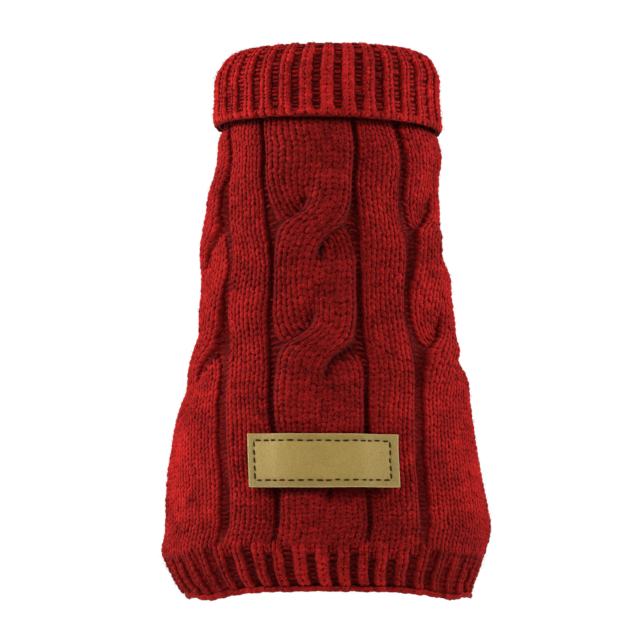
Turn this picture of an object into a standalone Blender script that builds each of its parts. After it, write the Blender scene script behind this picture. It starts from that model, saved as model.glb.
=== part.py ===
"""Cable-knit dog sweater, hollow and filled out as if worn.

Metres. +Z points to the neck, -Y is the cabled side over the dog's back, and the
origin is the middle of the neck opening, where the collar is sewn to the body.
Sizes below are in millimetres, and turn into metres where points are made.
"""

import functools
import math

import bmesh
import bpy
import numpy as np

MM = 0.001

# Cloth and seams
WALE = 4.13  # one column of stitches
BODY_CLOTH = 2.6
RIB_CLOTH = 3.0
SEAM_GAP = 0.3

# Heights of the body's edges at the front, and how far the belly's hem lies above it
BODY_TOP = 0.0
HEM_TOP = -181.5
HEM_BOTTOM = -205.2
BELLY_RISE = 38.0
RISE_START = -72.0  # the rise grows from here down to the hem
RISE_FROM_SHARE = 0.5  # and from this share of the way round to the belly
FRONT_RISE = 2.2  # the hem hangs this much higher at the front than at the sides
FRONT_START = -160.0
FRONT_SHARES = (0.16, 0.38)

# Outer face of the plain cloth. Each section is a rounded oval: its middle in X, its half
# width, its depth to the back (-Y) and to the belly (+Y), and its squareness, 2 for an
# ellipse. The pattern's middle lies shift to the right of the section's own.
SECTION_COLUMNS = ("height", "middle", "half_width", "back", "belly", "squareness", "shift")
SECTIONS = (
    (-206.0, 2.4, 56.4, 43.2, 42.2, 2.20, -0.5),
    (-203.0, 1.7, 58.2, 44.2, 43.2, 2.20, -0.5),
    (-197.0, -0.5, 61.4, 46.4, 45.0, 2.22, -0.5),
    (-190.0, -1.0, 64.7, 48.6, 46.5, 2.24, -0.6),
    (-183.0, -1.3, 67.9, 50.2, 47.6, 2.25, -0.6),
    (-176.0, 0.2, 68.3, 50.4, 48.0, 2.25, -0.8),
    (-165.0, 0.3, 67.6, 50.0, 48.0, 2.22, -1.1),
    (-144.0, -1.1, 65.0, 48.8, 47.4, 2.18, -0.7),
    (-124.0, -0.5, 61.3, 47.0, 46.2, 2.14, -1.3),
    (-108.0, 1.1, 57.4, 45.2, 44.8, 2.10, -2.7),
    (-94.0, 0.2, 51.8, 43.6, 43.6, 2.08, -4.0),
    (-76.0, -0.3, 51.7, 42.8, 42.8, 2.06, -4.9),
    (-60.0, 0.0, 50.0, 42.4, 42.6, 2.04, -4.4),
    (-46.0, -2.3, 46.4, 42.2, 42.4, 2.02, -3.6),
    (-33.0, -1.6, 46.1, 42.2, 42.4, 2.00, -5.2),
    (-14.0, 1.3, 45.4, 42.8, 42.4, 2.00, -7.4),
    (-7.0, 0.5, 44.7, 42.2, 41.8, 2.00, -7.8),
    (-3.0, 0.0, 43.3, 40.9, 40.9, 2.00, -7.6),
    (2.0, 0.0, 43.1, 40.6, 40.6, 2.00, -7.4),
)
SHIFT_FULL_SHARE = 0.34  # the pattern's shift is whole up to this share of the way round
SHIFT_ZERO_SHARE = 0.72  # and gone from this one

# The pattern of the back, counted in wales from its middle: a cable in its field of
# gutters, a band, a gutter, then the side cable in its own field
CABLE_WALES = 8.0
FIELD_WALES = 5.0  # half width of the sunk field that a cable lies in
FIELD_SOFT = 0.4
BAND_MIDDLE = 7.5
BAND_WALES = 2.6
OUTER_GUTTER = 10.5
SIDE_CABLE = 15.0
CROSSING = -49.0  # height of the first crossing of the ropes
CROSSING_STEP = 50.8  # from one crossing to the next
SIDE_CABLE_END = -112.0  # the side cables run out into plain cloth here
SIDE_CABLE_FADE = 8.0
ROPE_RISE = 2.1
ROPE_LIFT = 1.6  # added to the rope in front, taken from the one behind
ROPE_SWEEP = 1.6  # over 1, the ropes swing across more sharply than a sine
ROPE_SPREAD = 3.6  # a rope is this much wider each way where it slants across
GUTTER_DEPTH = 1.4
BAND_RISE = 0.5
COLLAR_SHADE = (-4.0, -13.0)  # the pattern grows to its full relief below the collar
HEM_FADE = 9.0  # and flattens into the hem's ribs over this height
RIM_FADE = 5.0  # and beside the side seams and leg openings
LABEL_PRESS = 0.5  # share of the relief that the label's seam presses flat

# Columns of points in the back panel, to one side of its middle, in wales, and the plain
# steps beyond them to the side seam
PATTERN_WALES = (0, 1, 2, 3, 4, 4.5, 5, 6, 7, 8, 9, 10, 10.5, 11, 12, 13, 14, 15, 16, 17, 18, 19, 19.5, 20)
SIDE_STEPS = 6
BELLY_STEPS = 16
BODY_ROWS = 38

# Side seams and the leg openings in them
BELLY_COLUMNS = ("height", "half_width")
BELLY_WIDTHS = ((-204.0, 66.0), (-181.5, 66.0), (-120.0, 54.0), (-66.0, 44.0), (2.0, 35.0))
LEG_HEIGHT = -43.0
LEG_HALF_HEIGHT = 23.5
LEG_HALF_WIDTH = 19.0
LEG_BAND_CLOTH = 2.6
LEG_BAND_LENGTH = 9.0
LEG_BAND_RIBS = 12
LEG_RIB_COLUMNS = 3

# Collar: the middle line of its doubled strip, from the neck seam up inside, over the
# fold and down outside, as steps out from the collar's oval and heights
COLLAR_HALF_WIDTH = 47.5
COLLAR_HALF_DEPTH = 45.0
COLLAR_COLUMNS = ("out", "height")
COLLAR_LINE = (
    (-5.9, 0.3),
    (-8.9, 9.5),
    (-12.4, 19.0),
    (-14.4, 24.2),
    (-11.8, 26.5),
    (-7.9, 25.2),
    (-4.2, 20.6),
    (-2.1, 12.0),
    (-1.5, 3.0),
    (-0.5, -4.7),
)
COLLAR_RIBS = 32
HEM_RIBS = 42
RIB_RISE = 0.9
RIB_COLUMNS = 4  # columns of points to a rib

# Label
LABEL_WIDTH = 63.0
LABEL_HEIGHT = 22.4
LABEL_TOP = -138.0
LABEL_MIDDLE = -0.6  # arc from the pattern's middle
LABEL_LEATHER = 1.5

YARN_RED = (0.36, 0.018, 0.022, 1.0)
LEATHER_TAN = (0.36, 0.27, 0.10, 1.0)

OUTLINE_POINTS = 361


def columns(names, rows):
    """Turns a table of rows into one array for each named column, lowest row first."""
    return dict(zip(names, np.array(rows).T))


SECTION = columns(SECTION_COLUMNS, SECTIONS)
BELLY = columns(BELLY_COLUMNS, BELLY_WIDTHS)


def smooth_step(value, start, end):
    share = np.clip((value - start) / (end - start), 0.0, 1.0)
    return share * share * (3.0 - 2.0 * share)


def between_rows(table, column, height):
    """Cubic through the table's rows: the column's value at a height."""
    heights, values = table["height"], table[column]
    slopes = np.gradient(values, heights)
    row = int(np.clip(np.searchsorted(heights, height) - 1, 0, len(heights) - 2))
    step = heights[row + 1] - heights[row]
    t = (height - heights[row]) / step
    start = (1.0 + 2.0 * t) * (1.0 - t) ** 2 * values[row] + t * (1.0 - t) ** 2 * step * slopes[row]
    end = t * t * (3.0 - 2.0 * t) * values[row + 1] - t * t * (1.0 - t) * step * slopes[row + 1]
    return start + end


def oval(angles, half_width, back, belly, squareness):
    """Points of a rounded oval; angle 0 is the middle of the back, pi the belly's."""
    power = 2.0 / squareness
    across = np.sign(np.sin(angles)) * np.abs(np.sin(angles)) ** power
    along = -np.sign(np.cos(angles)) * np.abs(np.cos(angles)) ** power
    return half_width * across, np.where(along < 0.0, back, belly) * along


def lengths_along(xs, ys):
    """Length of the line up to each of its points, counted from its middle point."""
    steps = np.hypot(np.diff(xs), np.diff(ys))
    lengths = np.concatenate(([0.0], np.cumsum(steps)))
    return lengths - lengths[len(lengths) // 2]


@functools.lru_cache(maxsize=None)
def section_line(height):
    """The outline at a height, with its length from the middle of the back."""
    angles = np.linspace(-math.pi, math.pi, OUTLINE_POINTS)
    sizes = [between_rows(SECTION, name, height) for name in SECTION_COLUMNS[2:6]]
    xs, ys = oval(angles, *sizes)
    return xs + between_rows(SECTION, "middle", height), ys, lengths_along(xs, ys)


def half_girth(height):
    return section_line(height)[2][-1]


def body_point(share, height):
    """A point of the plain cloth's outer face. share runs from 0 at the pattern's middle
    to 1 or -1 at the middle of the belly."""
    xs, ys, lengths = section_line(height)
    kept = 1.0 - smooth_step(abs(share), SHIFT_FULL_SHARE, SHIFT_ZERO_SHARE)
    arc = share * lengths[-1] + kept * between_rows(SECTION, "shift", height)
    return np.array([np.interp(arc, lengths, xs), np.interp(arc, lengths, ys), height])


def body_normal(share, height):
    """Outward normal of the plain cloth, from the steps to its neighbours."""
    round_step = body_point(share + 0.004, height) - body_point(share - 0.004, height)
    up_step = body_point(share, height + 0.5) - body_point(share, height - 0.5)
    normal = np.cross(round_step, up_step)
    return normal / np.linalg.norm(normal)


def lifted(share, height):
    """Height of a row's point once the belly's part is drawn up to its shorter hem."""
    belly = BELLY_RISE * smooth_step(abs(share), RISE_FROM_SHARE, 1.0)
    belly *= np.clip((height - RISE_START) / (HEM_TOP - RISE_START), 0.0, 1.0)
    front = FRONT_RISE * (1.0 - smooth_step(abs(share), *FRONT_SHARES))
    return height + belly + front * smooth_step(height, FRONT_START, HEM_TOP)


def cloth_grid(shares, heights, offset):
    """Points of the body at shares[row, column] and heights[row], moved out by offset."""
    points = np.empty(shares.shape + (3,))
    for row, column in np.ndindex(shares.shape):
        share = shares[row, column]
        height = lifted(share, heights[row])
        out = offset(share, height) if callable(offset) else offset
        points[row, column] = body_point(share, height) + out * body_normal(share, height)
    return points


def rope_relief(across, height):
    """Height of a cable of two ropes over the gutter's floor; across is from its middle.

    Both ropes sway from side to side with the height, half a turn apart, and the one that
    crosses from the right above to the left below is lifted over the other. Between two
    crossings they lie side by side as one pillow."""
    phase = math.pi * (CROSSING - height) / CROSSING_STEP
    swing = math.sin(phase)
    half_rope = 0.25 * CABLE_WALES * WALE
    half_width = half_rope + ROPE_SPREAD * math.cos(phase) ** 2
    reach = min(abs(across) / (2.0 * half_rope), 1.0)
    best = swing**2 * (GUTTER_DEPTH + ROPE_RISE) * math.sqrt(1.0 - reach**4)
    for side in (-1.0, 1.0):
        sway = side * half_rope * swing * (ROPE_SWEEP - (ROPE_SWEEP - 1.0) * swing**2)
        crown = GUTTER_DEPTH + ROPE_RISE - side * ROPE_LIFT * math.cos(phase)
        reach = min(abs(across - sway) / half_width, 1.0)
        best = max(best, crown * math.sqrt(1.0 - reach**3))
    return best


def back_relief(share, height):
    """How far the knitting of the back stands out from plain cloth, in its own pattern."""
    across = share * half_girth(height)
    wales = abs(across) / WALE
    field = (FIELD_WALES + FIELD_SOFT, FIELD_WALES - FIELD_SOFT)
    middle = smooth_step(wales, *field)
    gutter = smooth_step(abs(wales - OUTER_GUTTER), 1.0, 0.2)
    side = smooth_step(abs(wales - SIDE_CABLE), *field)
    side *= smooth_step(height, SIDE_CABLE_END - SIDE_CABLE_FADE, SIDE_CABLE_END + SIDE_CABLE_FADE)
    floor = -GUTTER_DEPTH * max(middle, gutter, side)
    band = BAND_RISE * smooth_step(abs(wales - BAND_MIDDLE), BAND_WALES, 0.5 * BAND_WALES)
    middle_rope = middle * rope_relief(across, height)
    side_rope = side * rope_relief(across - math.copysign(SIDE_CABLE * WALE, across), height)
    relief = floor + band + max(middle_rope, side_rope)
    rim = seam_share(height) * half_girth(height) - leg_notch(height) - abs(across)
    relief *= smooth_step(rim, 0.1 * RIM_FADE, RIM_FADE)
    relief *= smooth_step(height, *COLLAR_SHADE)
    relief *= 1.0 - 0.8 * smooth_step(height, HEM_TOP + HEM_FADE, HEM_TOP)
    return relief * (1.0 - LABEL_PRESS * under_label(across, height)) if relief > 0.0 else relief


def under_label(across, height):
    """1 where the label is sewn down and presses the knitting, 0 away from it."""
    beside = abs(across - LABEL_MIDDLE) - 0.5 * LABEL_WIDTH
    below = abs(height - LABEL_TOP + 0.5 * LABEL_HEIGHT) - 0.5 * LABEL_HEIGHT
    return smooth_step(beside, 4.0, 0.0) * smooth_step(below, 4.0, 0.0)


def leg_notch(height):
    """Half the width of the leg opening at a height: a lens with pointed ends."""
    reach = (height - LEG_HEIGHT) / LEG_HALF_HEIGHT
    return LEG_HALF_WIDTH * max(0.0, 1.0 - reach * reach)


@functools.lru_cache(maxsize=None)
def seam_share(height):
    """Share of the way round at which the side seam lies, at a height."""
    return 1.0 - between_rows(BELLY, "half_width", height) / half_girth(height)


def new_piece(name, faces_points, material):
    """Adds an object whose mesh has the given corner points and faces, all outward."""
    points, faces = faces_points
    mesh = bpy.data.meshes.new(name)
    mesh.from_pydata((np.asarray(points) * MM).tolist(), [], faces)
    work = bmesh.new()
    work.from_mesh(mesh)
    bmesh.ops.recalc_face_normals(work, faces=work.faces)
    work.to_mesh(mesh)
    work.free()
    mesh.shade_smooth()
    mesh.set_sharp_from_angle(angle=math.radians(50.0))
    mesh.materials.append(material)
    piece = bpy.data.objects.new(name, mesh)
    sweater.objects.link(piece)
    return piece


def wall_faces(outer, inner, row_picks, col_picks, closed):
    """A wall between a fine outer grid and a coarser plain inner one.

    Both grids are rows of points. The picks are the outer rows and columns that the inner
    grid's own rows and columns lie behind, and closed grids run all the way round."""
    rows, cols = outer.shape[:2]
    inner_cols = len(col_picks)
    ends = list(col_picks) + ([cols] if closed else [])

    def front(row, col):
        return row * cols + col % cols

    def rear(row, col):
        return rows * cols + row * inner_cols + col % inner_cols

    faces = []
    for row in range(rows - 1):
        for col in range(cols if closed else cols - 1):
            faces.append([front(row, col), front(row, col + 1), front(row + 1, col + 1), front(row + 1, col)])
    for row in range(len(row_picks) - 1):
        for col in range(len(ends) - 1):
            faces.append([rear(row, col), rear(row + 1, col), rear(row + 1, col + 1), rear(row, col + 1)])
    for row, inner_row in ((0, 0), (rows - 1, len(row_picks) - 1)):
        for col in range(len(ends) - 1):
            edge = [front(row, step) for step in range(ends[col], ends[col + 1] + 1)]
            faces.append(edge + [rear(inner_row, col + 1), rear(inner_row, col)])
    if not closed:
        for col, inner_col in ((0, 0), (cols - 1, inner_cols - 1)):
            for row in range(len(row_picks) - 1):
                edge = [front(step, col) for step in range(row_picks[row], row_picks[row + 1] + 1)]
                faces.append(edge + [rear(row + 1, inner_col), rear(row, inner_col)])
    return np.concatenate([outer.reshape(-1, 3), inner.reshape(-1, 3)]), faces


def knit_material(name, colour, roughness):
    material = bpy.data.materials.new(name)
    material.use_nodes = True
    shader = material.node_tree.nodes["Principled BSDF"]
    shader.inputs["Base Color"].default_value = colour
    shader.inputs["Roughness"].default_value = roughness
    shader.inputs["Metallic"].default_value = 0.0
    return material


def body_rows():
    """Heights of the panels' rows between the neck and the hem band, and the rows that
    the inner face keeps: every second one, but each one beside the leg openings."""
    heights = np.linspace(BODY_TOP, HEM_TOP, BODY_ROWS + 1)
    beside_leg = np.abs(heights - LEG_HEIGHT) < LEG_HALF_HEIGHT
    kept = [row for row in range(BODY_ROWS + 1) if row % 2 == 0 or beside_leg[row]]
    return heights, kept


def edge_share(height, side_gap):
    """Share of the way round of a panel's side edge: the seam, cut back at the leg opening.

    side_gap is in millimetres, negative on the back panel and positive on the belly's."""
    notch = math.copysign(leg_notch(height), side_gap)
    return seam_share(height) + (side_gap + notch) / half_girth(height)


def back_columns(height):
    """Shares of the way round of the back panel's columns: one at each wale of the
    pattern and at the middle of each gutter, then plain steps to the side edge. Those past
    the outer gutter close up beside the leg opening."""
    shares = np.array(PATTERN_WALES) * WALE / half_girth(height)
    seam = seam_share(height)
    steps = np.arange(1, SIDE_STEPS + 1) / SIDE_STEPS
    shares = np.append(shares, shares[-1] + (seam - shares[-1]) * steps)
    gutter = PATTERN_WALES.index(OUTER_GUTTER)
    room = (edge_share(height, -0.5 * SEAM_GAP) - shares[gutter]) / (seam - shares[gutter])
    shares[gutter:] = shares[gutter] + (shares[gutter:] - shares[gutter]) * room
    return np.concatenate([-shares[:0:-1], shares])


def make_back_panel(material):
    heights, rows = body_rows()
    shares = np.array([back_columns(height) for height in heights])
    last = shares.shape[1] - 1
    cols = [*range(SIDE_STEPS), *range(SIDE_STEPS, last - SIDE_STEPS, 3), *range(last - SIDE_STEPS, last + 1)]
    outer = cloth_grid(shares, heights, back_relief)
    inner = cloth_grid(shares[rows][:, cols], heights[rows], -BODY_CLOTH)
    return new_piece("back_panel", wall_faces(outer, inner, rows, cols, False), material)


def make_belly_panel(material):
    """Plain cloth from one side seam to the other; past the belly's middle, at 1, the
    shares go on from -1."""
    heights, rows = body_rows()
    edges = np.array([edge_share(height, 0.5 * SEAM_GAP) for height in heights])
    shares = np.linspace(edges, 2.0 - edges, BELLY_STEPS + 1, axis=1)
    shares = np.where(shares > 1.0, shares - 2.0, shares)
    cols = range(shares.shape[1])
    outer = cloth_grid(shares, heights, 0.0)
    inner = cloth_grid(shares[rows], heights[rows], -BODY_CLOTH)
    return new_piece("belly_panel", wall_faces(outer, inner, rows, cols, False), material)


def rib_relief(count, columns_round):
    """Relief of the ribs at evenly spaced columns, with crowns wider than the grooves."""
    turns = 2.0 * math.pi * count * np.arange(columns_round) / columns_round
    return RIB_RISE * (np.cos(turns) + 0.35 * np.sin(turns) ** 2)


def make_hem_band(material):
    """The band goes on below the panels; its last row is the rolled, unribbed edge."""
    count = HEM_RIBS * RIB_COLUMNS
    shares = np.linspace(-1.0, 1.0, count, endpoint=False)
    places = np.array([0.0, 0.22, 0.78, 0.92, 1.0])
    heights = HEM_TOP - 1.2 * SEAM_GAP + places * (HEM_BOTTOM - HEM_TOP + 1.2 * SEAM_GAP)
    ribbed = np.array([0.5, 1.0, 1.0, 0.3, 0.0])
    rolled = np.array([0.0, 0.0, 0.0, 0.7, -0.3])
    grid = np.tile(shares, (len(heights), 1))
    base = cloth_grid(grid, heights, 0.0)
    out = cloth_grid(grid, heights, 1.0) - base
    relief = ribbed[:, None] * rib_relief(HEM_RIBS, count) + rolled[:, None]
    outer = base + out * relief[:, :, None]
    rows, cols = range(0, len(heights), 2), range(0, count, 2)
    inner = (base - out * BODY_CLOTH)[rows][:, cols]
    return new_piece("hem_band", wall_faces(outer, inner, rows, cols, True), material)


def ring_points(shares, out, height):
    """Points round the collar's oval at a height, out millimetres beyond it."""
    angles = np.linspace(-math.pi, math.pi, OUTLINE_POINTS)
    depth = COLLAR_HALF_DEPTH + out
    xs, ys = oval(angles, COLLAR_HALF_WIDTH + out, depth, depth, 2.0)
    lengths = lengths_along(xs, ys)
    arcs = shares * lengths[-1]
    heights = np.full(len(shares), height)
    return np.stack([np.interp(arcs, lengths, xs), np.interp(arcs, lengths, ys), heights], axis=1)


def make_collar(material):
    """A strip doubled over: its outer face is ribbed all the way, inside and out."""
    line = dict(zip(COLLAR_COLUMNS, np.array(COLLAR_LINE).T))
    middles = np.stack([line["out"], line["height"]], axis=1)
    steps = np.gradient(middles, axis=0)
    normals = np.stack([-steps[:, 1], steps[:, 0]], axis=1) / np.linalg.norm(steps, axis=1)[:, None]
    normals[0] = (-1.0, 0.0)  # both edges are cut level
    normals[-1] = (1.0, 0.0)
    count = COLLAR_RIBS * RIB_COLUMNS
    shares = np.linspace(-1.0, 1.0, count, endpoint=False)
    relief = rib_relief(COLLAR_RIBS, count)[:, None]
    last = len(middles) - 1
    outer = []
    inner = []
    for row, (middle, normal) in enumerate(zip(middles, normals)):
        flat = ring_points(shares, *(middle + 0.5 * RIB_CLOTH * normal))
        raised = ring_points(shares, *(middle + (0.5 * RIB_CLOTH + 1.0) * normal))
        outer.append(flat if row in (0, last) else flat + (raised - flat) * relief)
        inner.append(ring_points(shares[::RIB_COLUMNS], *(middle - 0.5 * RIB_CLOTH * normal)))
    rows, cols = range(last + 1), range(0, count, RIB_COLUMNS)
    return new_piece("collar", wall_faces(np.array(outer), np.array(inner), rows, cols, True), material)


def make_leg_band(name, side, material):
    """A short ribbed cuff standing in the leg opening and pointing to the belly's side."""
    count = LEG_BAND_RIBS * LEG_RIB_COLUMNS
    turns = np.linspace(0.0, 2.0 * math.pi, count, endpoint=False)
    relief = rib_relief(LEG_BAND_RIBS, count) * 0.7
    rows = (-0.9 * BODY_CLOTH, 0.0, 0.34 * LEG_BAND_LENGTH, 0.67 * LEG_BAND_LENGTH, LEG_BAND_LENGTH)
    ribbed = (0.0, 0.0, 0.8, 1.0, 0.0)
    outer = []
    inner = []
    for along, rib in zip(rows, ribbed):
        insets = SEAM_GAP - rib * relief
        outer.append([leg_band_point(side, turn, along, inset) for turn, inset in zip(turns, insets)])
        inset = SEAM_GAP + LEG_BAND_CLOTH
        inner.append([leg_band_point(side, turn, along, inset) for turn in turns[::LEG_RIB_COLUMNS]])
    places, cols = range(len(rows)), range(0, count, LEG_RIB_COLUMNS)
    return new_piece(name, wall_faces(np.array(outer), np.array(inner), places, cols, True), material)


def leg_band_point(side, turn, along, inset):
    """A point of the cuff's wall: inset from the opening's rim towards its middle, and
    along outwards from the cloth."""
    reach = math.cos(turn)
    height = LEG_HEIGHT + (LEG_HALF_HEIGHT - 1.6 * inset) * reach
    across = (LEG_HALF_WIDTH - inset) * (1.0 - reach * reach) * math.copysign(1.0, math.sin(turn))
    share = seam_share(height) + across / half_girth(height)
    share = side * (share - 2.0 if share > 1.0 else share)
    foot = body_point(share, lifted(share, height))
    normal = body_normal(share, lifted(share, height))
    if along > 0.0:
        normal = 0.35 * normal + np.array([0.0, 1.0, 0.0])
        normal /= np.linalg.norm(normal)
    return foot + along * normal


def make_label(material):
    """The label lies on the back panel: its rear is the panel's own form, moved out past
    the cables, and Solidify gives the leather its thickness."""
    heights = np.linspace(LABEL_TOP, LABEL_TOP - LABEL_HEIGHT, 4)
    arcs = LABEL_MIDDLE + np.linspace(-0.5, 0.5, 15) * LABEL_WIDTH
    shares = np.array([arcs / half_girth(height) for height in heights])
    grid = cloth_grid(shares, heights, label_offset)
    rows, cols = shares.shape
    faces = []
    for row in range(rows - 1):
        for col in range(cols - 1):
            corner = row * cols + col
            faces.append([corner, corner + cols, corner + cols + 1, corner + 1])
    label = new_piece("label", (grid.reshape(-1, 3), faces), material)
    leather = label.modifiers.new("leather", "SOLIDIFY")
    leather.thickness = LABEL_LEATHER * MM
    leather.offset = 1.0
    leather.use_even_offset = True
    return label


def label_offset(share, height):
    """How far the label's rear stands off the plain cloth: over the cable in the middle,
    down on the bands at its ends."""
    across = abs(share * half_girth(height))
    return SEAM_GAP + 0.35 + 1.75 * smooth_step(across, 27.0, 12.0)


for old in list(bpy.data.objects):
    bpy.data.objects.remove(old, do_unlink=True)

sweater = bpy.data.collections.new("dog_sweater")
bpy.context.scene.collection.children.link(sweater)

make_back_panel(knit_material("back_yarn", YARN_RED, 0.9))
make_belly_panel(knit_material("belly_yarn", YARN_RED, 0.9))
make_collar(knit_material("collar_yarn", YARN_RED, 0.9))
make_hem_band(knit_material("hem_yarn", YARN_RED, 0.9))
make_leg_band("leg_band_left", -1.0, knit_material("left_band_yarn", YARN_RED, 0.9))
make_leg_band("leg_band_right", 1.0, knit_material("right_band_yarn", YARN_RED, 0.9))
make_label(knit_material("label_leather", LEATHER_TAN, 0.55))
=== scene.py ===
import math
import bpy
import numpy as np
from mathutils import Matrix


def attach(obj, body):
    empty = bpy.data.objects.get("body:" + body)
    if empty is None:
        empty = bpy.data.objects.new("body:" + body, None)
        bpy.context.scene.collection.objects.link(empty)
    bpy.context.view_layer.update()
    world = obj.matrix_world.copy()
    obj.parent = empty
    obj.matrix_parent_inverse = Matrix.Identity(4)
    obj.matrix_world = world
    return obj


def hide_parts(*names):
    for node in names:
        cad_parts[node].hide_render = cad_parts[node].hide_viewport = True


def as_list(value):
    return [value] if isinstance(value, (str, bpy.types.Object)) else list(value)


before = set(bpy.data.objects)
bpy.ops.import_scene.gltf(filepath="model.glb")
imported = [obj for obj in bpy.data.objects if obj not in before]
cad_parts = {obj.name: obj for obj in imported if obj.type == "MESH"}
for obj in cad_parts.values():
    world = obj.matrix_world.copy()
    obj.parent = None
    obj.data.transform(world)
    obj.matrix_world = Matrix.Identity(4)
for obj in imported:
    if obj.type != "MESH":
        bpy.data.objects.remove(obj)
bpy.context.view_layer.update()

mm = 0.001  # lengths below are in millimetres until a mesh is made
fullTurn = 6.283  # for the waves in the materials
chance = np.random.default_rng(11)
print("dog sweater: packed frame loaded")


def smoothStep(value, start, end):
    # 0 to 1 from start to end, as 3t^2 - 2t^3
    t = np.clip((value - start) / (end - start), 0.0, 1.0)
    return t * t * (3.0 - 2.0 * t)


def faded(triple, value):
    # an amount that comes in as a value goes from a start to an end
    amount, start, end = triple
    return amount * smoothStep(value, start, end)


def ramp(pair, t):
    # the pair's first number and t times its second
    return pair[0] + pair[1] * t


def throughRows(table, places):
    # a cubic between the rows of a table, whose slopes come from the neighbours; the first column says where
    at = table[:, 0]
    slopes = np.gradient(table, at, axis=0)
    row = np.clip(np.searchsorted(at, places) - 1, 0, len(at) - 2)
    step = (at[row + 1] - at[row])[:, None]
    t = (places - at[row])[:, None] / step
    start = (1 + 2 * t) * (1 - t) ** 2 * table[row] + t * (1 - t) ** 2 * step * slopes[row]
    return start + t * t * (3 - 2 * t) * table[row + 1] - t * t * (1 - t) * step * slopes[row + 1]


def combined(*lists):
    # every combination of the lists' values, the last list's changing fastest
    return [grid.ravel() for grid in np.meshgrid(*lists, indexing="ij")]


def wrapped(share):
    # a share of the way round that passes the belly's middle, at 1, goes on from -1
    return np.where(share > 1.0, share - 2.0, share)


def shareOf(turn, ribs):
    # share of the way round after a number of ribs from the back's middle
    return (2.0 * turn / ribs + 1.0) % 2.0 - 1.0


def placed(name, data):
    # a new object in the scene
    item = bpy.data.objects.new(name, data)
    bpy.context.scene.collection.objects.link(item)
    return item


# camera: the photograph looks slightly up at the sweater from far away
view = dict(aim=(-0.0042, 0.0, -0.0830), distance=3.0, elevation=-6.5, lens=404.0, sensor=36.0, clip=20.0)
camera = placed("camera", bpy.data.cameras.new("camera"))
rise = math.radians(view["elevation"])
camera.location = (
    view["aim"][0],
    view["aim"][1] - view["distance"] * math.cos(rise),
    view["aim"][2] + view["distance"] * math.sin(rise),
)
camera.rotation_euler = (math.radians(90.0) - rise, 0.0, 0.0)
camera.data.lens, camera.data.sensor_width, camera.data.clip_end = view["lens"], view["sensor"], view["clip"]
bpy.context.scene.camera = camera


# body: the plain cloth's outer face, the same rounded ovals as the solids
body = dict(
    hemTop=-181.5, hemBottom=-205.2,
    # the hem is drawn up at the belly, a little at the front, and at the corners between them
    bellyRise=38.0, riseStart=-72.0, riseShare=0.5,
    frontRise=2.2, frontStart=-160.0, frontShares=(0.16, 0.38),
    cornerRise=2.8, cornerStart=8.0, cornerShares=((0.34, 0.46), (0.70, 0.5)),
    # where the pattern's shift ends, and where the left and the right leaning start
    shiftShares=(0.34, 0.72), leftShares=(-0.02, 0.13), rightShares=(0.14, 0.26),
    # the gutters beside the middle cable are this much narrower than a wale
    narrowed=1.4, narrowedFrom=(16.5, 22.0),
    # sewn closed, so that no daylight shows between the panels, whose cloth dips at the seam
    seamGap=0.02, seamDip=0.9, dipFrom=(2.2, 0.2),
    # bars and fibres stay this far from the seam
    seamClear=0.15,
    # height, middle, half width, depth to the back, depth to the belly, squareness, shift of the pattern
    ovals=(
        (-206.0, 2.4, 56.4, 43.2, 42.2, 2.20, -0.5),
        (-203.0, 1.7, 58.2, 44.2, 43.2, 2.20, -0.5),
        (-197.0, -0.5, 61.4, 46.4, 45.0, 2.22, -0.5),
        (-190.0, -1.0, 64.7, 48.6, 46.5, 2.24, -0.6),
        (-183.0, -1.3, 67.9, 50.2, 47.6, 2.25, -0.6),
        (-176.0, 0.2, 68.3, 50.4, 48.0, 2.25, -0.8),
        (-165.0, 0.3, 67.6, 50.0, 48.0, 2.22, -1.1),
        (-144.0, -1.1, 65.0, 48.8, 47.4, 2.18, -0.7),
        (-124.0, -0.5, 61.3, 47.0, 46.2, 2.14, -1.3),
        (-108.0, 1.6, 57.4, 45.2, 44.8, 2.10, -3.2),
        (-101.0, 1.3, 54.2, 44.4, 44.2, 2.09, -4.0),
        (-94.0, -0.2, 51.8, 43.6, 43.6, 2.08, -3.7),
        (-85.0, -1.2, 52.2, 43.2, 43.2, 2.07, -3.5),
        (-76.0, -0.4, 51.6, 42.8, 42.8, 2.06, -4.8),
        (-66.0, 0.9, 51.2, 42.5, 42.7, 2.05, -5.7),
        (-58.0, 0.0, 49.7, 42.4, 42.6, 2.04, -4.6),
        (-46.0, -2.3, 46.4, 42.2, 42.4, 2.02, -3.6),
        (-33.0, -1.6, 46.1, 42.2, 42.4, 2.00, -5.2),
        (-14.0, 1.3, 45.4, 42.8, 42.4, 2.00, -7.4),
        (-7.0, 0.5, 44.7, 42.2, 41.8, 2.00, -7.8),
        (-3.0, 0.0, 43.3, 40.9, 40.9, 2.00, -7.6),
        (2.0, 0.0, 43.1, 40.6, 40.6, 2.00, -7.4),
    ),
    # height, and how far the left and the right half of the pattern lie to the right of an even one
    leanings=(
        (-206.0, -1.8, 0.6), (-177.0, -1.8, 1.2), (-160.0, -1.2, 0.6), (-125.0, -3.0, 0.6),
        (-114.0, -3.6, 0.6), (-103.0, -3.3, 0.6), (-95.0, -2.3, 0.8), (-85.0, -1.3, 0.2), (-76.0, -0.2, 0.3),
        (-57.0, -0.6, 0.6), (-49.0, -1.5, 0.9), (-39.0, -1.6, 1.0), (-30.0, -2.6, 1.1), (-21.0, -3.4, 0.2),
        (-13.0, -3.8, -1.2), (-6.0, -3.3, -1.8), (2.0, -3.2, -1.8),
    ),
    # height, and half the belly panel's width before it is cut for the legs
    bellyWidths=((-204.0, 66.0), (-181.5, 66.0), (-120.0, 54.0), (-66.0, 44.0), (2.0, 35.0)),
    legHeight=-43.0, legHalfHeight=23.5, legHalfWidth=19.0,
)
mapHeights = np.arange(-214.0, 8.0, 1.0)
mapShares = np.linspace(-1.12, 1.12, 673)


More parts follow.
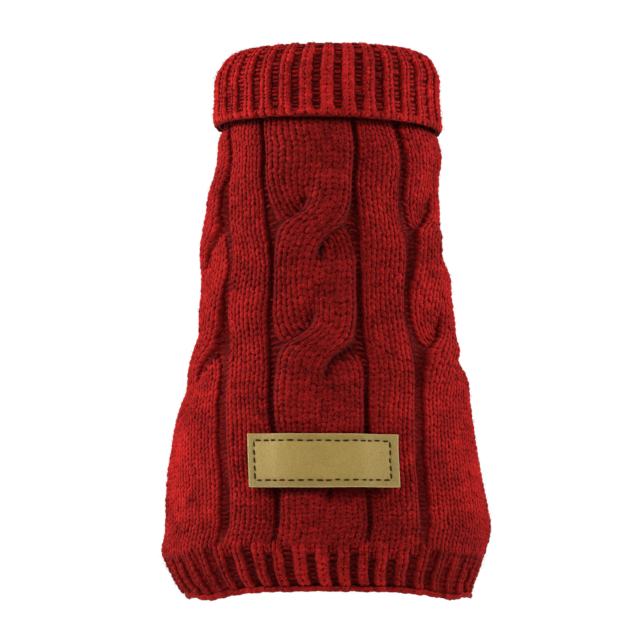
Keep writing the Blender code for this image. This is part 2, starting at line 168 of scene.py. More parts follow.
def makeBodyMap():
    # outline at a height: x = middle + halfWidth sin^(2/s), y = -depth cos^(2/s)
    # it is taken by its length from the back's middle
    rows = throughRows(np.array(body["ovals"]), mapHeights).T[1:, :, None]
    middle, halfWidth, back, belly, square, shift = rows
    angles = np.linspace(-math.pi, math.pi, 721)
    sine, cosine = np.sin(angles), np.cos(angles)
    xs = middle + halfWidth * np.sign(sine) * np.abs(sine) ** (2.0 / square)
    ys = -np.sign(cosine) * np.abs(cosine) ** (2.0 / square)
    ys = ys * np.where(ys < 0.0, back, belly)
    steps = np.hypot(np.diff(xs), np.diff(ys))
    lengths = np.concatenate([np.zeros((len(xs), 1)), np.cumsum(steps, axis=1)], axis=1)
    lengths -= lengths[:, 360:361]
    girths = lengths[:, -1:]
    left, right = throughRows(np.array(body["leanings"]), mapHeights).T[1:, :, None]
    shift = shift + left * smoothStep(-mapShares, *body["leftShares"])
    shift = shift + right * smoothStep(mapShares, *body["rightShares"])
    outside = smoothStep(np.abs(mapShares) * girths, *body["narrowedFrom"])
    shift = shift - body["narrowed"] * np.sign(mapShares) * outside
    arcs = mapShares * girths + (1.0 - smoothStep(np.abs(mapShares), *body["shiftShares"])) * shift
    arcs = np.where(arcs > girths, arcs - 2.0 * girths, np.where(arcs < -girths, arcs + 2.0 * girths, arcs))
    places = np.empty(arcs.shape + (3,))
    for row in range(len(mapHeights)):
        places[row, :, 0] = np.interp(arcs[row], lengths[row], xs[row])
        places[row, :, 1] = np.interp(arcs[row], lengths[row], ys[row])
    places[:, :, 2] = mapHeights[:, None]
    outward = np.cross(np.gradient(places, axis=1), np.gradient(places, axis=0))
    outward /= np.linalg.norm(outward, axis=2, keepdims=True)
    return places, outward, girths[:, 0]


bodyPlaces, bodyOutward, bodyGirths = makeBodyMap()


def halfGirth(height):
    return np.interp(height, mapHeights, bodyGirths)


def lifted(share, height):
    # rows of knitting are drawn up to the hem's rises
    reach = np.abs(share)
    belly = body["bellyRise"] * smoothStep(reach, body["riseShare"], 1.0)
    belly = belly * np.clip((height - body["riseStart"]) / (body["hemTop"] - body["riseStart"]), 0.0, 1.0)
    front = body["frontRise"] * (1.0 - smoothStep(reach, *body["frontShares"]))
    inner, outer = body["cornerShares"]
    corner = body["cornerRise"] * smoothStep(reach, *inner) * smoothStep(reach, *outer)
    corner = corner * smoothStep(height, body["hemTop"] - body["cornerStart"], body["hemBottom"])
    return height + belly + corner + front * smoothStep(height, body["frontStart"], body["hemTop"])


def onBody(share, height, out):
    # the map's point between its four nearest, moved out along the normal there
    share, height, out = np.broadcast_arrays(share, height, out)
    column = np.clip((share - mapShares[0]) / (mapShares[1] - mapShares[0]), 0.0, len(mapShares) - 1.001)
    row = np.clip((height - mapHeights[0]) / (mapHeights[1] - mapHeights[0]), 0.0, len(mapHeights) - 1.001)
    c, r = column.astype(int), row.astype(int)
    x, y = (column - c)[..., None], (row - r)[..., None]

    def blend(grid):
        low = grid[r, c] * (1 - x) + grid[r, c + 1] * x
        return low * (1 - y) + (grid[r + 1, c] * (1 - x) + grid[r + 1, c + 1] * x) * y

    return blend(bodyPlaces) + blend(bodyOutward) * out[..., None]


def seamShare(height):
    # the side seam's share of the way round
    half = throughRows(np.array(body["bellyWidths"]), np.atleast_1d(height).ravel())[:, 1]
    return 1.0 - half.reshape(np.shape(height)) / halfGirth(height)


def legNotch(height):
    # half width of the leg opening: a lens, 1 - t^2
    reach = (height - body["legHeight"]) / body["legHalfHeight"]
    return body["legHalfWidth"] * np.maximum(0.0, 1.0 - reach * reach)


def edgeShare(height, gap):
    # a panel's edge: the seam, cut back at the leg opening; gap is minus on the back panel
    return seamShare(height) + (gap + np.copysign(legNotch(height), gap)) / halfGirth(height)


def backHalf(height):
    # half width of the back panel
    return edgeShare(height, -0.5 * body["seamGap"]) * halfGirth(height)


def bellyHalf(height):
    # half width of the belly panel
    return (1.0 - edgeShare(height, 0.5 * body["seamGap"])) * halfGirth(height)


def seamDip(room):
    # how deep the cloth dips at a distance from its sewn edge
    return body["seamDip"] * smoothStep(room, *body["dipFrom"])


# pattern of the back, counted in wales from its middle: cable, gutter, band, gutter, side cable
pattern = dict(
    wale=4.13, course=2.4,
    # how far one course lies below the last, at heights from the neck to the hem
    courses=((0.0, 2.30), (-25.0, 2.35), (-45.0, 2.62), (-90.0, 2.65), (-108.0, 2.35), (-135.0, 2.22),
             (-182.0, 2.15)),
    field=(5.4, 4.6), gutter=10.5, gutterEdge=(1.0, 0.2), gutterDepth=1.9,
    bandMiddle=7.5, bandWales=2.6, bandRise=0.6,
    sideCable=15.0, sideEnd=-112.0, sideFade=8.0, sideRise=0.85, beyondSide=19.5,
    crossing=-49.0, crossingStep=50.8,
    ropeSweep=2.1, ropeWide=0.07, ropeSpread=3.4, ropeRise=2.1, ropeLift=2.8,
    ropeReach=1.06, ropeRound=3.6, pillowReach=2.06,
    # the relief fades out below the neck, at the hem, at the panel's edge, and is pressed flat by the label
    topRise=(-3.0, -10.0), topFloor=(0.0, -4.0), hemFade=9.0, hemFlat=0.75, edgeFade=(0.5, 5.0),
    pressed=0.55,
    # the collar's rim hangs to this height, and a little less at the left than at the right
    rim=(-4.7, 1.2),
)
label = dict(width=63.0, height=22.4, top=-138.0, middle=-0.6, leather=1.5, inset=(2.8, 3.6, 2.9, 2.9))
halfRope = 2.0 * pattern["wale"]


def ropePath(side, height, run):
    # sway = half rope x tanh(k sin(phase)) / tanh(k): quick across, then upright
    # run below 1 makes plain wales of it; above the first loop's middle the wales run straight up
    height = np.minimum(height, pattern["crossing"] + 0.5 * pattern["crossingStep"])
    phase = math.pi * (pattern["crossing"] - height) / pattern["crossingStep"]
    swing, facing = np.sin(phase), np.cos(phase)
    sweep = np.tanh(pattern["ropeSweep"] * swing) / math.tanh(pattern["ropeSweep"])
    wide = halfRope * (1.0 + run * pattern["ropeWide"])
    sway = side * (run * wide * sweep - (1.0 - run) * halfRope)
    halfWidth = wide + run * pattern["ropeSpread"] * ((1.0 - sweep**2) * facing) ** 2
    crown = pattern["gutterDepth"] + pattern["ropeRise"] - side * pattern["ropeLift"] * facing
    return sway, halfWidth, crown, swing


def ropeHeight(side, offset, height):
    # one rope's rounded back over the gutter's floor, or the pillow that both make between crossings
    sway, halfWidth, crown, swing = ropePath(side, height, 1.0)
    reach = np.minimum(np.abs(offset - sway) / (pattern["ropeReach"] * halfWidth), 1.0)
    flat = np.minimum(np.abs(offset) / (pattern["pillowReach"] * halfRope * (1.0 + pattern["ropeWide"])), 1.0)
    pillow = swing**2 * (pattern["gutterDepth"] + pattern["ropeRise"]) * np.sqrt(1.0 - flat**4)
    return np.maximum(crown * np.sqrt(1.0 - reach ** pattern["ropeRound"]), pillow)


def sideRun(height):
    # 1 where the side cables run, 0 in the plain knitting below them
    end, fade = pattern["sideEnd"], pattern["sideFade"]
    return smoothStep(height, end - fade, end + fade)


def atHem(height):
    # 0 to 1 over the last rows above the hem band
    return smoothStep(height, body["hemTop"] + pattern["hemFade"], body["hemTop"])


def underLabel(across, height, spread=4.0, inset=0.0):
    # 1 under the label and 0 further than spread from it; inset moves its edges in
    beside = np.abs(across - label["middle"]) - 0.5 * label["width"] + inset
    below = np.abs(height - label["top"] + 0.5 * label["height"]) - 0.5 * label["height"] + inset
    return smoothStep(beside, spread, 0.0) * smoothStep(below, spread, 0.0)


def ripple(across, height):
    # soft cloth never lies quite flat: two slow waves
    return 0.26 * np.sin(0.16 * height + 0.12 * across) + 0.18 * np.sin(0.31 * across - 0.09 * height + 2.0)


def wander(across, height):
    # nor do its wales run quite straight
    return 0.28 * np.sin(0.19 * height + 0.15 * across) + 0.20 * np.sin(0.083 * height - 0.29 * across + 1.7)


def backRelief(share, height, side=0):
    # floor of the gutters, rise of the bands and the ropes; side picks one rope, 0 takes the higher of both
    across = share * halfGirth(height)
    wales = np.abs(across) / pattern["wale"]
    middle = smoothStep(wales, *pattern["field"])
    gutter = smoothStep(np.abs(wales - pattern["gutter"]), *pattern["gutterEdge"])
    sideField = smoothStep(np.abs(wales - pattern["sideCable"]), *pattern["field"]) * sideRun(height)
    floor = -pattern["gutterDepth"] * np.maximum(middle, np.maximum(gutter, sideField))
    band = smoothStep(np.abs(wales - pattern["bandMiddle"]), pattern["bandWales"], 0.5 * pattern["bandWales"])
    sideOffset = across - np.sign(across) * pattern["sideCable"] * pattern["wale"]

    def ropes(offset):
        left, right = ropeHeight(-1.0, offset, height), ropeHeight(1.0, offset, height)
        return np.where(side < 0, left, np.where(side > 0, right, np.maximum(left, right)))

    cables = np.maximum(middle * ropes(across), pattern["sideRise"] * sideField * ropes(sideOffset))
    relief = floor + pattern["bandRise"] * band + cables + ripple(across, height)
    rim = seamShare(height) * halfGirth(height) - legNotch(height) - np.abs(across)
    relief = relief * smoothStep(rim, *pattern["edgeFade"])
    high, low = (smoothStep(height, *pattern[key]) for key in ("topRise", "topFloor"))
    relief = relief * np.where(relief > 0.0, high, low)
    relief = relief * (1.0 - pattern["hemFlat"] * atHem(height))
    pressed = np.where(relief > 0.0, pattern["pressed"] * underLabel(across, height), 0.0)
    return relief * (1.0 - pressed) - seamDip(rim)


# how much darker the yarn is where less light comes; triples say how much, and where it starts and ends
shades = dict(
    middle=(0.36, 0.34, 0.08), sides=(0.15, 0.28, 0.44), hem=(0.22, 0.06, 0.3), hemStart=-160.0,
    rim=0.72, rimBelow=(3.0, 1.4), label=(0.62, 31.0, 22.0), labelBelow=(5.0, 1.0),
    # beside a higher rope, most where that lies to the left, for the light comes from there
    toLeft=(0.7, 0.7, 2.4), toRight=(0.3, 0.7, 2.4), ropeNear=2.2,
    # painted shade on the ropes' and the ribs' steep flanks
    flank=0.35, flankFall=(0.6, 2.4), flankWide=1.7, ribFlank=0.25, ribFlankFrom=(0.34, 0.56),
    # where painted light fills the grooves, at the sides
    aslantSides=(0.14, 0.38),
    # painted shade of the back's purl bars, darker away from the middle, of the side seam's yarn and of the
    # closing stitches; painted light makes the loose fibres paler
    bars=0.88, sideBars=(0.46, 0.12, 0.24), seam=0.85, closing=0.92, fibres=1.25,
)


def paintedLightAndShade(share, height):
    # painted light and shade: over 1 at the sides, less in the middle and at the hem, least in the painted
    # shadows under the rim and the label's lower edge
    reach = np.abs(share)
    across = share * halfGirth(height)
    middle = 1.0 - faded(shades["middle"], reach) + faded(shades["sides"], reach)
    hem = faded(shades["hem"], reach) * smoothStep(height, shades["hemStart"], body["hemTop"])
    rim = ramp(pattern["rim"], 1.25 - np.sin(math.pi * share))
    start, end = shades["rimBelow"]
    rim = shades["rim"] * smoothStep(height, rim - start, rim - end)
    below = smoothStep(np.abs(height - label["top"] + label["height"]), *shades["labelBelow"])
    below = below * faded(shades["label"], np.abs(across - label["middle"]))
    return middle * (1.0 - hem) * (1.0 - rim) * (1.0 - below)


# meshes
def addPiece(name, points, faces, material, **values):
    # points in millimetres; faces is a list of whole arrays, one for each number of corners
    mesh = bpy.data.meshes.new(name)
    points = np.ascontiguousarray(np.asarray(points, float).reshape(-1, 3) * mm, dtype=np.float32)
    faces = [np.asarray(block, np.int32) for block in faces]
    mesh.vertices.add(len(points))
    mesh.vertices.foreach_set("co", points.ravel())
    mesh.loops.add(sum(block.size for block in faces))
    mesh.loops.foreach_set("vertex_index", np.concatenate([block.ravel() for block in faces]))
    sizes = np.concatenate([np.full(len(block), block.shape[1], np.int32) for block in faces])
    mesh.polygons.add(len(sizes))
    mesh.polygons.foreach_set("loop_start", np.concatenate([[0], np.cumsum(sizes)[:-1]]).astype(np.int32))
    mesh.update(calc_edges=True)
    mesh.validate()
    mesh.shade_smooth()
    for key, value in values.items():
        layer = mesh.attributes.new(key, "FLOAT_VECTOR", "POINT")
        layer.data.foreach_set("vector", np.ascontiguousarray(value, dtype=np.float32).ravel())
    mesh.materials.append(material)
    piece = placed(name, mesh)
    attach(piece, "root")
    return piece


def gridFaces(rows, columns, closed=False, start=0):
    # quads of a grid whose points run along its columns; closed joins the last column to the first
    row, column = combined(np.arange(rows - 1), np.arange(columns if closed else columns - 1))
    low, after = row * columns, (column + 1) % columns
    high = low + columns
    return start + np.stack([low + column, low + after, high + after, high + column], axis=1)


def addWall(name, outer, inner, closed, material, **values):
    # cloth between two grids of one size, with its edges closed
    rows, columns = outer.shape[:2]
    count, last = rows * columns, (rows - 1) * columns
    faces = [gridFaces(rows, columns, closed), gridFaces(rows, columns, closed, count)[:, ::-1]]
    turn = np.arange(columns if closed else columns - 1)
    after = (turn + 1) % columns
    edges = [(turn, turn + count, after + count, after),
             (turn + last, after + last, after + last + count, turn + last + count)]
    if not closed:
        side = np.arange(rows - 1) * columns
        edges.append((side, side + columns, side + columns + count, side + count))
        side = side + columns - 1
        edges.append((side, side + count, side + columns + count, side + columns))
    faces += [np.stack(edge, axis=1) for edge in edges]
    points = np.concatenate([outer.reshape(-1, 3), inner.reshape(-1, 3)])
    return addPiece(name, points, [np.concatenate(faces)], material, **values)


def grain(path, wide, thick, tapers, sides=5):
    # one strand of yarn: ovals of wide by thick round a path, closed to a point at both ends
    along = np.gradient(path, axis=0)
    along /= np.linalg.norm(along, axis=1, keepdims=True)
    across = np.cross(along, [0.0, 0.0, 1.0])
    across /= np.linalg.norm(across, axis=1, keepdims=True)
    upward = np.cross(across, along)
    turns = 2.0 * math.pi * (np.arange(sides) + 0.5) / sides - 0.5 * math.pi
    level, upright = wide * np.cos(turns)[:, None], thick * np.sin(turns)[:, None]
    oval = level * across[1:-1, None] + upright * upward[1:-1, None]
    rings = path[1:-1, None] + np.asarray(tapers)[:, None, None] * oval
    points = np.concatenate([rings.reshape(-1, 3), path[:1], path[-1:]])
    count = len(path) - 2
    share = np.linspace(0.0, 1.0, len(path))
    around = np.append(np.tile(np.arange(sides) / sides, count), [0.5, 0.5])
    yarn = np.stack([np.append(np.repeat(share[1:-1], sides), [0.0, 1.0]), around], axis=1)
    quads = gridFaces(count, sides, True)[:, ::-1]
    turn = np.arange(sides)
    after = np.roll(turn, -1)
    first = np.stack([turn, after, np.full(sides, count * sides)], axis=1)
    last = (count - 1) * sides
    end = np.stack([last + turn, np.full(sides, count * sides + 1), last + after], axis=1)
    return points, [quads, np.concatenate([first, end])], yarn


def joined(strands):
    # several strands as one template
    starts = np.cumsum([0] + [len(points) for points, _, _ in strands])
    faces = [np.concatenate([strand[1][kind] + start for strand, start in zip(strands, starts)])
             for kind in (0, 1)]
    points, yarn = (np.concatenate([strand[part] for strand in strands]) for part in (0, 2))
    return points, faces, yarn


# one knit stitch: two legs that meet below like a V, in shares of its wale and its course
stitch = dict(
    foot=0.09, top=0.415, low=-0.72, high=0.80, dip=0.5, legWide=0.255, legThick=0.50, barThick=0.64,
    # how much painted shade darkens a strand's end
    ends=0.42,
    # what differs in the ribs and in the links of a cast-off edge
    rib=dict(foot=0.135, top=0.365, legWide=0.265, low=-0.76),
    link=dict(foot=0.05, top=0.27, legWide=0.36, low=-0.88, high=0.9, dip=0.3),
    # how deep stitches lie in the cloth, and how far they stay from a panel's edge
    sunk=0.5, barSunk=0.6, closingSunk=0.55, clear=0.35,
)


def knitStitch(wide, tall, **changes):
    # a leg runs from (foot, low) to (top, high), rises in its middle, and dips behind the next stitch
    leg = {**stitch, **changes}
    t = np.array([0.0, 0.07, 0.32, 0.64, 0.92, 1.0])
    u = wide * (leg["foot"] + (leg["top"] - leg["foot"]) * t + 0.02 * np.sin(math.pi * t))
    v = tall * (leg["low"] + (leg["high"] - leg["low"]) * t)
    w = 0.42 * np.sin(math.pi * (0.10 + 0.78 * t)) - leg["dip"] * t**2
    paths = [np.stack([side * u, v, w], axis=1) for side in (1.0, -1.0)]
    wide = leg["legWide"] * wide
    return joined([grain(path, wide, leg["legThick"], [0.55, 1.0, 1.0, 0.65]) for path in paths])


def purlBar(length, arch=1.1):
    # a bar of yarn across a gutter, arched upward and outward as a sine
    t = np.array([0.0, 0.08, 0.35, 0.65, 0.92, 1.0])
    path = np.stack([length * (t - 0.5), arch * np.sin(math.pi * t), 0.45 * np.sin(math.pi * t)], axis=1)
    return grain(path, stitch["barThick"], stitch["barThick"], [0.7, 1.0, 1.0, 0.7])


def chainLink(pitch, tall):
    # a stitch laid on its side, for a cast-off edge: (u, v) turned to (v, -u)
    points, faces, yarn = knitStitch(tall, pitch, **stitch["link"])
    return np.stack([points[:, 1], -points[:, 0], points[:, 2]], axis=1), faces, yarn


def paintedGrooveLight(template, aslant):
    # painted light in the grooves where the cloth is seen aslant: the yarn's low parts and its ends are
    # painted paler there
    low, along = template[0][:, 2], template[2][:, 0]
    paler = np.clip(0.1 - low, 0.0, 1.0) - 0.1 * np.clip(low, 0.0, 1.0) + stitch["ends"] * along**4
    return 1.0 + np.asarray(aslant)[:, None] * paler


def layStrands(name, template, place, count, material, shade=1.0, tint=0.07, loose=1.0):
    # copies of one template, all their points put in place at once
    # shade is the painted light and shade, 1 on crowns and lower in gutters: one number, one for each copy,
    # or one for each point of each
    # painted shade: a strand is darker at the end that dips behind the next, by along^4, and a little at its
    # foot
    # loose says how far each copy may be from its even size and place
    points, faces, yarn = template
    off = loose * chance.standard_normal((5, count, 1))
    u, v, w = points.T[:, None, :]
    u = u * (1.0 + 0.06 * off[0]) + 0.10 * off[1]
    v = v * (1.0 + 0.05 * off[2]) + 0.16 * off[3]
    places = place(np.arange(count)[:, None], u, v, w + 0.10 * off[4])
    start = (np.arange(count) * len(points))[:, None, None]
    blocks = [(block[None] + start).reshape(-1, block.shape[1]) for block in faces]
    value = np.empty((count, len(points), 3))
    value[:, :, 0] = yarn[:, 0] + chance.random(count)[:, None]
    value[:, :, 1] = yarn[:, 1]
    shade = np.asarray(shade, float)
    value[:, :, 2] = shade if shade.ndim == 2 else np.broadcast_to(shade, (count,))[:, None]
    value[:, :, 2] *= 1.0 + tint * chance.standard_normal((count, 1))
    value[:, :, 2] *= 1.0 - stitch["ends"] * (yarn[:, 0] ** 4 + 0.3 * (1.0 - yarn[:, 0]) ** 4)
    return addPiece(name, places, blocks, material, yarn=value)


# materials: sums on sockets are written as sums
class Wire:
    def __init__(self, graph, socket):
        self.graph, self.socket = graph, socket

    def sum(self, operation, first, second):
        return self.graph.add("ShaderNodeMath", {"operation": operation}, first, second)

    def __add__(self, other):
        return self.sum("ADD", self, other)

    def __sub__(self, other):
        return self.sum("SUBTRACT", self, other)

    def __rsub__(self, other):
        return self.sum("SUBTRACT", other, self)

    def __mul__(self, other):
        return self.sum("MULTIPLY", self, other)

    __radd__, __rmul__ = __add__, __mul__

    def sine(self):
        return self.sum("SINE", self, 0.0)


class Graph:
    def __init__(self, name):
        self.material = bpy.data.materials.new(name)
        self.material.use_nodes = True
        self.tree = self.material.node_tree
        self.shader = self.tree.nodes["Principled BSDF"]

    def join(self, socket, value):
        if isinstance(value, Wire):
            self.tree.links.new(value.socket, socket)
        else:
            socket.default_value = value

    def add(self, kind, settings, *values, out=0, **named):
        node = self.tree.nodes.new(kind)
        for key, value in settings.items():
            setattr(node, key, value)
        for socket, value in zip(node.inputs, values):
            self.join(socket, value)
        for key, value in named.items():
            self.join(node.inputs[key], value)
        return Wire(self, node.outputs[out])

    def mix(self, factor, first, second, blend="MIX"):
        node = self.tree.nodes.new("ShaderNodeMix")
        node.data_type, node.blend_type = "RGBA", blend
        for socket, value in zip((node.inputs[0], node.inputs[6], node.inputs[7]), (factor, first, second)):
            self.join(socket, value)
        return Wire(self, node.outputs[2])

    def noise(self, place, scale, detail, roughness):
        return self.add(
            "ShaderNodeTexNoise", {}, Vector=place, Scale=scale, Detail=detail, Roughness=roughness)

    def step(self, value, start, end):
        # 0 to 1 as a value goes from start to end, smoothly
        low, high = min(start, end), max(start, end)
        smooth = {"interpolation_type": "SMOOTHSTEP"}
        ramp = self.add("ShaderNodeMapRange", smooth, value, low, high, 0.0, 1.0)
        return ramp if start < end else 1.0 - ramp

    def parts(self, attribute):
        # the three numbers that a piece keeps at each point
        read = self.add("ShaderNodeAttribute", {"attribute_name": attribute}, out=1)
        return [self.add("ShaderNodeSeparateXYZ", {}, read, out=axis) for axis in range(3)]

    def spot(self):
        return self.add("ShaderNodeTexCoord", {}, out=3)

    def finish(self, colour, roughness, bump=None, depth=0.0002, strength=0.6, **constants):
        self.join(self.shader.inputs["Base Color"], colour)
        self.join(self.shader.inputs["Roughness"], roughness)
        if bump:
            normal = self.add("ShaderNodeBump", {}, Height=bump, Distance=depth, Strength=strength)
            self.join(self.shader.inputs["Normal"], normal)
        for key, value in constants.items():
            self.join(self.shader.inputs[key.replace("_", " ")], value)
        return self.material


wool = dict(
    dark=(0.10, 0.0018, 0.0022, 1.0), light=(0.54, 0.016, 0.015, 1.0), sheenTint=(1.0, 0.20, 0.17, 1.0),
    # scale, detail and roughness of each noise
    cloud=(75.0, 2.0, 0.5), heather=(330.0, 3.0, 0.6), flecks=(1350.0, 2.0, 0.7), fibres=(2900.0, 2.0, 0.6),
    reverse=(420.0, 3.0, 0.6),
    # metres off the middle between which the sides begin
    aslantSides=(0.024, 0.050),
)


def sidePlaces(graph, place):
    # 1 at the sides and 0 in the middle, from the square of the distance
    x = graph.add("ShaderNodeSeparateXYZ", {}, place)
    start, end = wool["aslantSides"]
    return graph.step(x * x, start**2, end**2)


def woolYarn(name):
    # heathered red yarn: four scales of noise, the plies' twist sin(2 pi (3 along + 2 around)), and its
    # painted light and shade
    graph = Graph(name)
    along, around, shade = graph.parts("yarn")
    place = graph.spot()
    twist = (fullTurn * (3.0 * along + 2.0 * around)).sine() * 0.5 + 0.5
    cloud, heather, flecks, fibres = (
        graph.noise(place, *wool[key]) for key in ("cloud", "heather", "flecks", "fibres"))
    # flecks and relief are fainter at the sides
    aslantSides = sidePlaces(graph, place)
    share = 0.8 * cloud + 0.9 * heather + 1.0 * fibres + 0.10 * twist - 0.98
    share = share + (2.2 - 1.3 * aslantSides) * (flecks - 0.5)
    colour = graph.mix(share, wool["dark"], wool["light"])
    # painted light and shade, from the third number that each point keeps
    colour = graph.mix(1.0, colour, shade, "MULTIPLY")
    relief = (0.3 * twist + 0.6 * flecks + 0.8 * fibres) * (1.0 - 0.5 * aslantSides)
    return graph.finish(
        colour, 0.78 + 0.16 * heather, relief, 0.00020, 0.6,
        Sheen_Weight=0.05, Sheen_Roughness=0.42, Sheen_Tint=wool["sheenTint"], Specular_IOR_Level=0.05,
    )


def woolBacking(name):
    # the reverse of the knitting: rows of bumps between the columns, from the cloth's own millimetres
    graph = Graph(name)
    across, row, inside = graph.parts("cloth")
    place = graph.spot()
    columns = (fullTurn / pattern["wale"] * across).sine()
    bumps = (fullTurn / pattern["course"] * row + 1.2 * columns).sine() * 0.5 + 0.5
    heather = graph.noise(place, *wool["reverse"])
    colour = graph.mix(1.4 * heather + 0.35 * bumps - 0.55, wool["dark"], wool["light"])
    # painted shade: the cloth seen between the stitches is darkened, most in the middle and least at the
    # sides, and its inside face less
    outside = 0.28 + 0.42 * sidePlaces(graph, place)
    colour = graph.mix(1.0, colour, outside + (0.77 - outside) * inside, "MULTIPLY")
    return graph.finish(
        colour, 0.92, bumps + 0.3 * heather, 0.0007, 0.8,
        Sheen_Weight=0.10, Sheen_Roughness=0.5, Sheen_Tint=wool["sheenTint"], Specular_IOR_Level=0.08,
    )


yarnWool = woolYarn("red_wool_yarn")
backing = woolBacking("red_wool_backing")
print("materials for the wool are made")


def clothValues(across, row):
    # what the backing's material reads: millimetres across, millimetres up, and 1 on the inside
    across, row = np.broadcast_arrays(across, row)
    outside = np.stack([across, row, np.zeros(across.shape)], axis=-1).reshape(-1, 3)
    return np.concatenate([outside, outside + (0.0, 0.0, 1.0)])


# back panel: its cloth lies sunk below the stitches, whose rows start and end inside its edges
back = dict(columns=150, rows=120, sunk=0.6, wall=2.1, innerRelief=0.3, first=-1.2, last=2.6)


def addBackWall():
    rows = np.linspace(body["hemTop"], 0.0, back["rows"])[:, None]
    share = np.linspace(-1.0, 1.0, back["columns"]) * edgeShare(rows, -0.5 * body["seamGap"])
    height = lifted(share, rows)
    relief = backRelief(share, height)
    outer = onBody(share, height, relief - back["sunk"])
    relief = np.minimum(relief, 0.0) * back["innerRelief"]
    inner = onBody(share, height, relief - back["sunk"] - back["wall"])
    values = clothValues(share * halfGirth(rows), rows)
    return addWall("back_cloth", outer, inner, False, backing, cloth=values)


def backWales():
    # middle of the cable or wale, which rope it is in (0 in plain cloth), and its place in the rope
    cables = (-pattern["sideCable"], 0.0, pattern["sideCable"])
    middle, side, slot = combined(cables, (-1.0, 1.0), (-1.5, -0.5, 0.5, 1.5))
    plain = np.append(np.arange(5.5, 10.0), np.arange(pattern["beyondSide"], 33.0))
    plain = np.append(plain, -plain)
    side, slot = (np.append(values, np.zeros(len(plain))) for values in (side, slot))
    return np.append(middle, plain) * pattern["wale"], side, slot * pattern["wale"]


def backTrack(middle, side, slot, u, height):
    # where a wale runs at a height: straight, or with its rope, whose wales widen where it crosses
    run = np.where(middle == 0.0, 1.0, sideRun(height))
    sway, halfWidth, _, _ = ropePath(side, height, run)
    return middle + np.where(side == 0.0, u, sway + (slot + u) * halfWidth / halfRope)


def courseRows(table, start, end):
    # heights of the courses, each a step below the last, and their steps
    heights, steps = np.array(table)[::-1].T
    rows = [start]
    while rows[-1] > end:
        rows.append(rows[-1] - np.interp(rows[-1], heights, steps))
    rows = np.array(rows)
    return rows, np.interp(rows, heights, steps)


def placeOnBack(middle, side, slot, rows, tall):
    def place(i, u, v, w):
        # each wale's stitches lie a little higher or lower than its neighbours'
        uneven = 0.4 * np.sin(1.7 * (middle[i] + slot[i]) + 0.05 * rows[i])
        row = rows[i] + v * tall[i] / pattern["course"] + uneven
        girth = halfGirth(row)
        across = backTrack(middle[i], side[i], slot[i], u, row)
        height = lifted(across / girth, row)
        across = backTrack(middle[i], side[i], slot[i], u, height)
        across = across + wander(across, height)
        limit = backHalf(row) - stitch["clear"]
        share = np.clip(across, -limit, limit) / girth
        height = lifted(share, row)
        return onBody(share, height, backRelief(share, height, side[i]) - stitch["sunk"] + w)

    return place


def backStitches():
    middle, side, slot = backWales()
    courses, steps = courseRows(pattern["courses"], back["first"], body["hemTop"] - back["last"])
    wale, course = combined(np.arange(len(middle)), np.arange(len(courses)))
    middle, side, slot, rows, tall = middle[wale], side[wale], slot[wale], courses[course], steps[course]
    across = backTrack(middle, side, slot, 0.0, rows)
    share = across / halfGirth(rows)
    height = lifted(share, rows)
    own = backRelief(share, height, side)
    # left out: what lies under the other rope, under the label, or where purl bars go
    hidden = backRelief(share, height) - own > 1.6
    covered = underLabel(across, height, 0.1, 4.0) > 0.5
    purl = (np.abs(np.abs(middle) - pattern["beyondSide"] * pattern["wale"]) < 0.1) & (sideRun(height) > 0.4)
    keep = (np.abs(across) < backHalf(rows) - 0.25 * pattern["wale"]) & ~hidden & ~covered & ~purl
    # painted shade by place, and painted shadow beside a higher rope
    beside = [share + way * shades["ropeNear"] / halfGirth(rows) for way in (-1.0, 1.0)]
    dark = paintedLightAndShade(share, height)
    for key, each in zip(("toLeft", "toRight"), beside):
        dark = dark * (1.0 - faded(shades[key], backRelief(each, height) - own))
    # how far the right side falls more than the left
    falls = [smoothStep(own - backRelief(each, height, side), *shades["flankFall"]) for each in beside]
    return [values[keep] for values in (middle, side, slot, rows, tall, across, dark, falls[1] - falls[0])]


def layBackStitches():
    # in three pieces: between the two outer gutters, and what lies left and right of them
    *track, across, dark, flank = backStitches()
    # painted shade on the outer leg of a flank that falls away
    flank = np.clip(flank[:, None] * plainStitch[0][:, 0] / shades["flankWide"], 0.0, 1.0)
    dark = dark[:, None] * (1.0 - shades["flank"] * flank)
    # painted light in the grooves at the sides
    aslant = smoothStep(np.abs(across) / halfGirth(track[3]), *shades["aslantSides"])
    dark = dark * paintedGrooveLight(plainStitch, aslant)
    edge = pattern["gutter"] * pattern["wale"]
    parts, pieces = dict(middle=np.abs(across) < edge, left=across <= -edge, right=across >= edge), []
    for name, part in parts.items():
        place = placeOnBack(*[values[part] for values in track])
        pieces.append(
            layStrands("back_stitches_" + name, plainStitch, place, part.sum(), yarnWool, dark[part]))
    print("back panel:", len(across), "stitches")
    return pieces


plainStitch = knitStitch(pattern["wale"], pattern["course"])
backCloth = addBackWall()
backPieces = layBackStitches()


# purl bars of the back: bands are the wales at which they meet the plain knitting
bars = dict(
    length=4.4, lean=0.34, upright=4.6, below=0.35, overlap=0.9, shortest=1.5, first=-3.3, last=-1.0,
    bands=(5.15, 9.85, 20.15), hemRise=0.5, tint=0.15,
)


def ropeEdges(height, run):
    # how far the two ropes of a cable reach to its left and right
    reaches = [ropePath(side, height, run)[:2] for side in (-1.0, 1.0)]
    left = np.minimum(*[sway - halfWidth for sway, halfWidth in reaches])
    right = np.maximum(*[sway + halfWidth for sway, halfWidth in reaches])
    return left, right


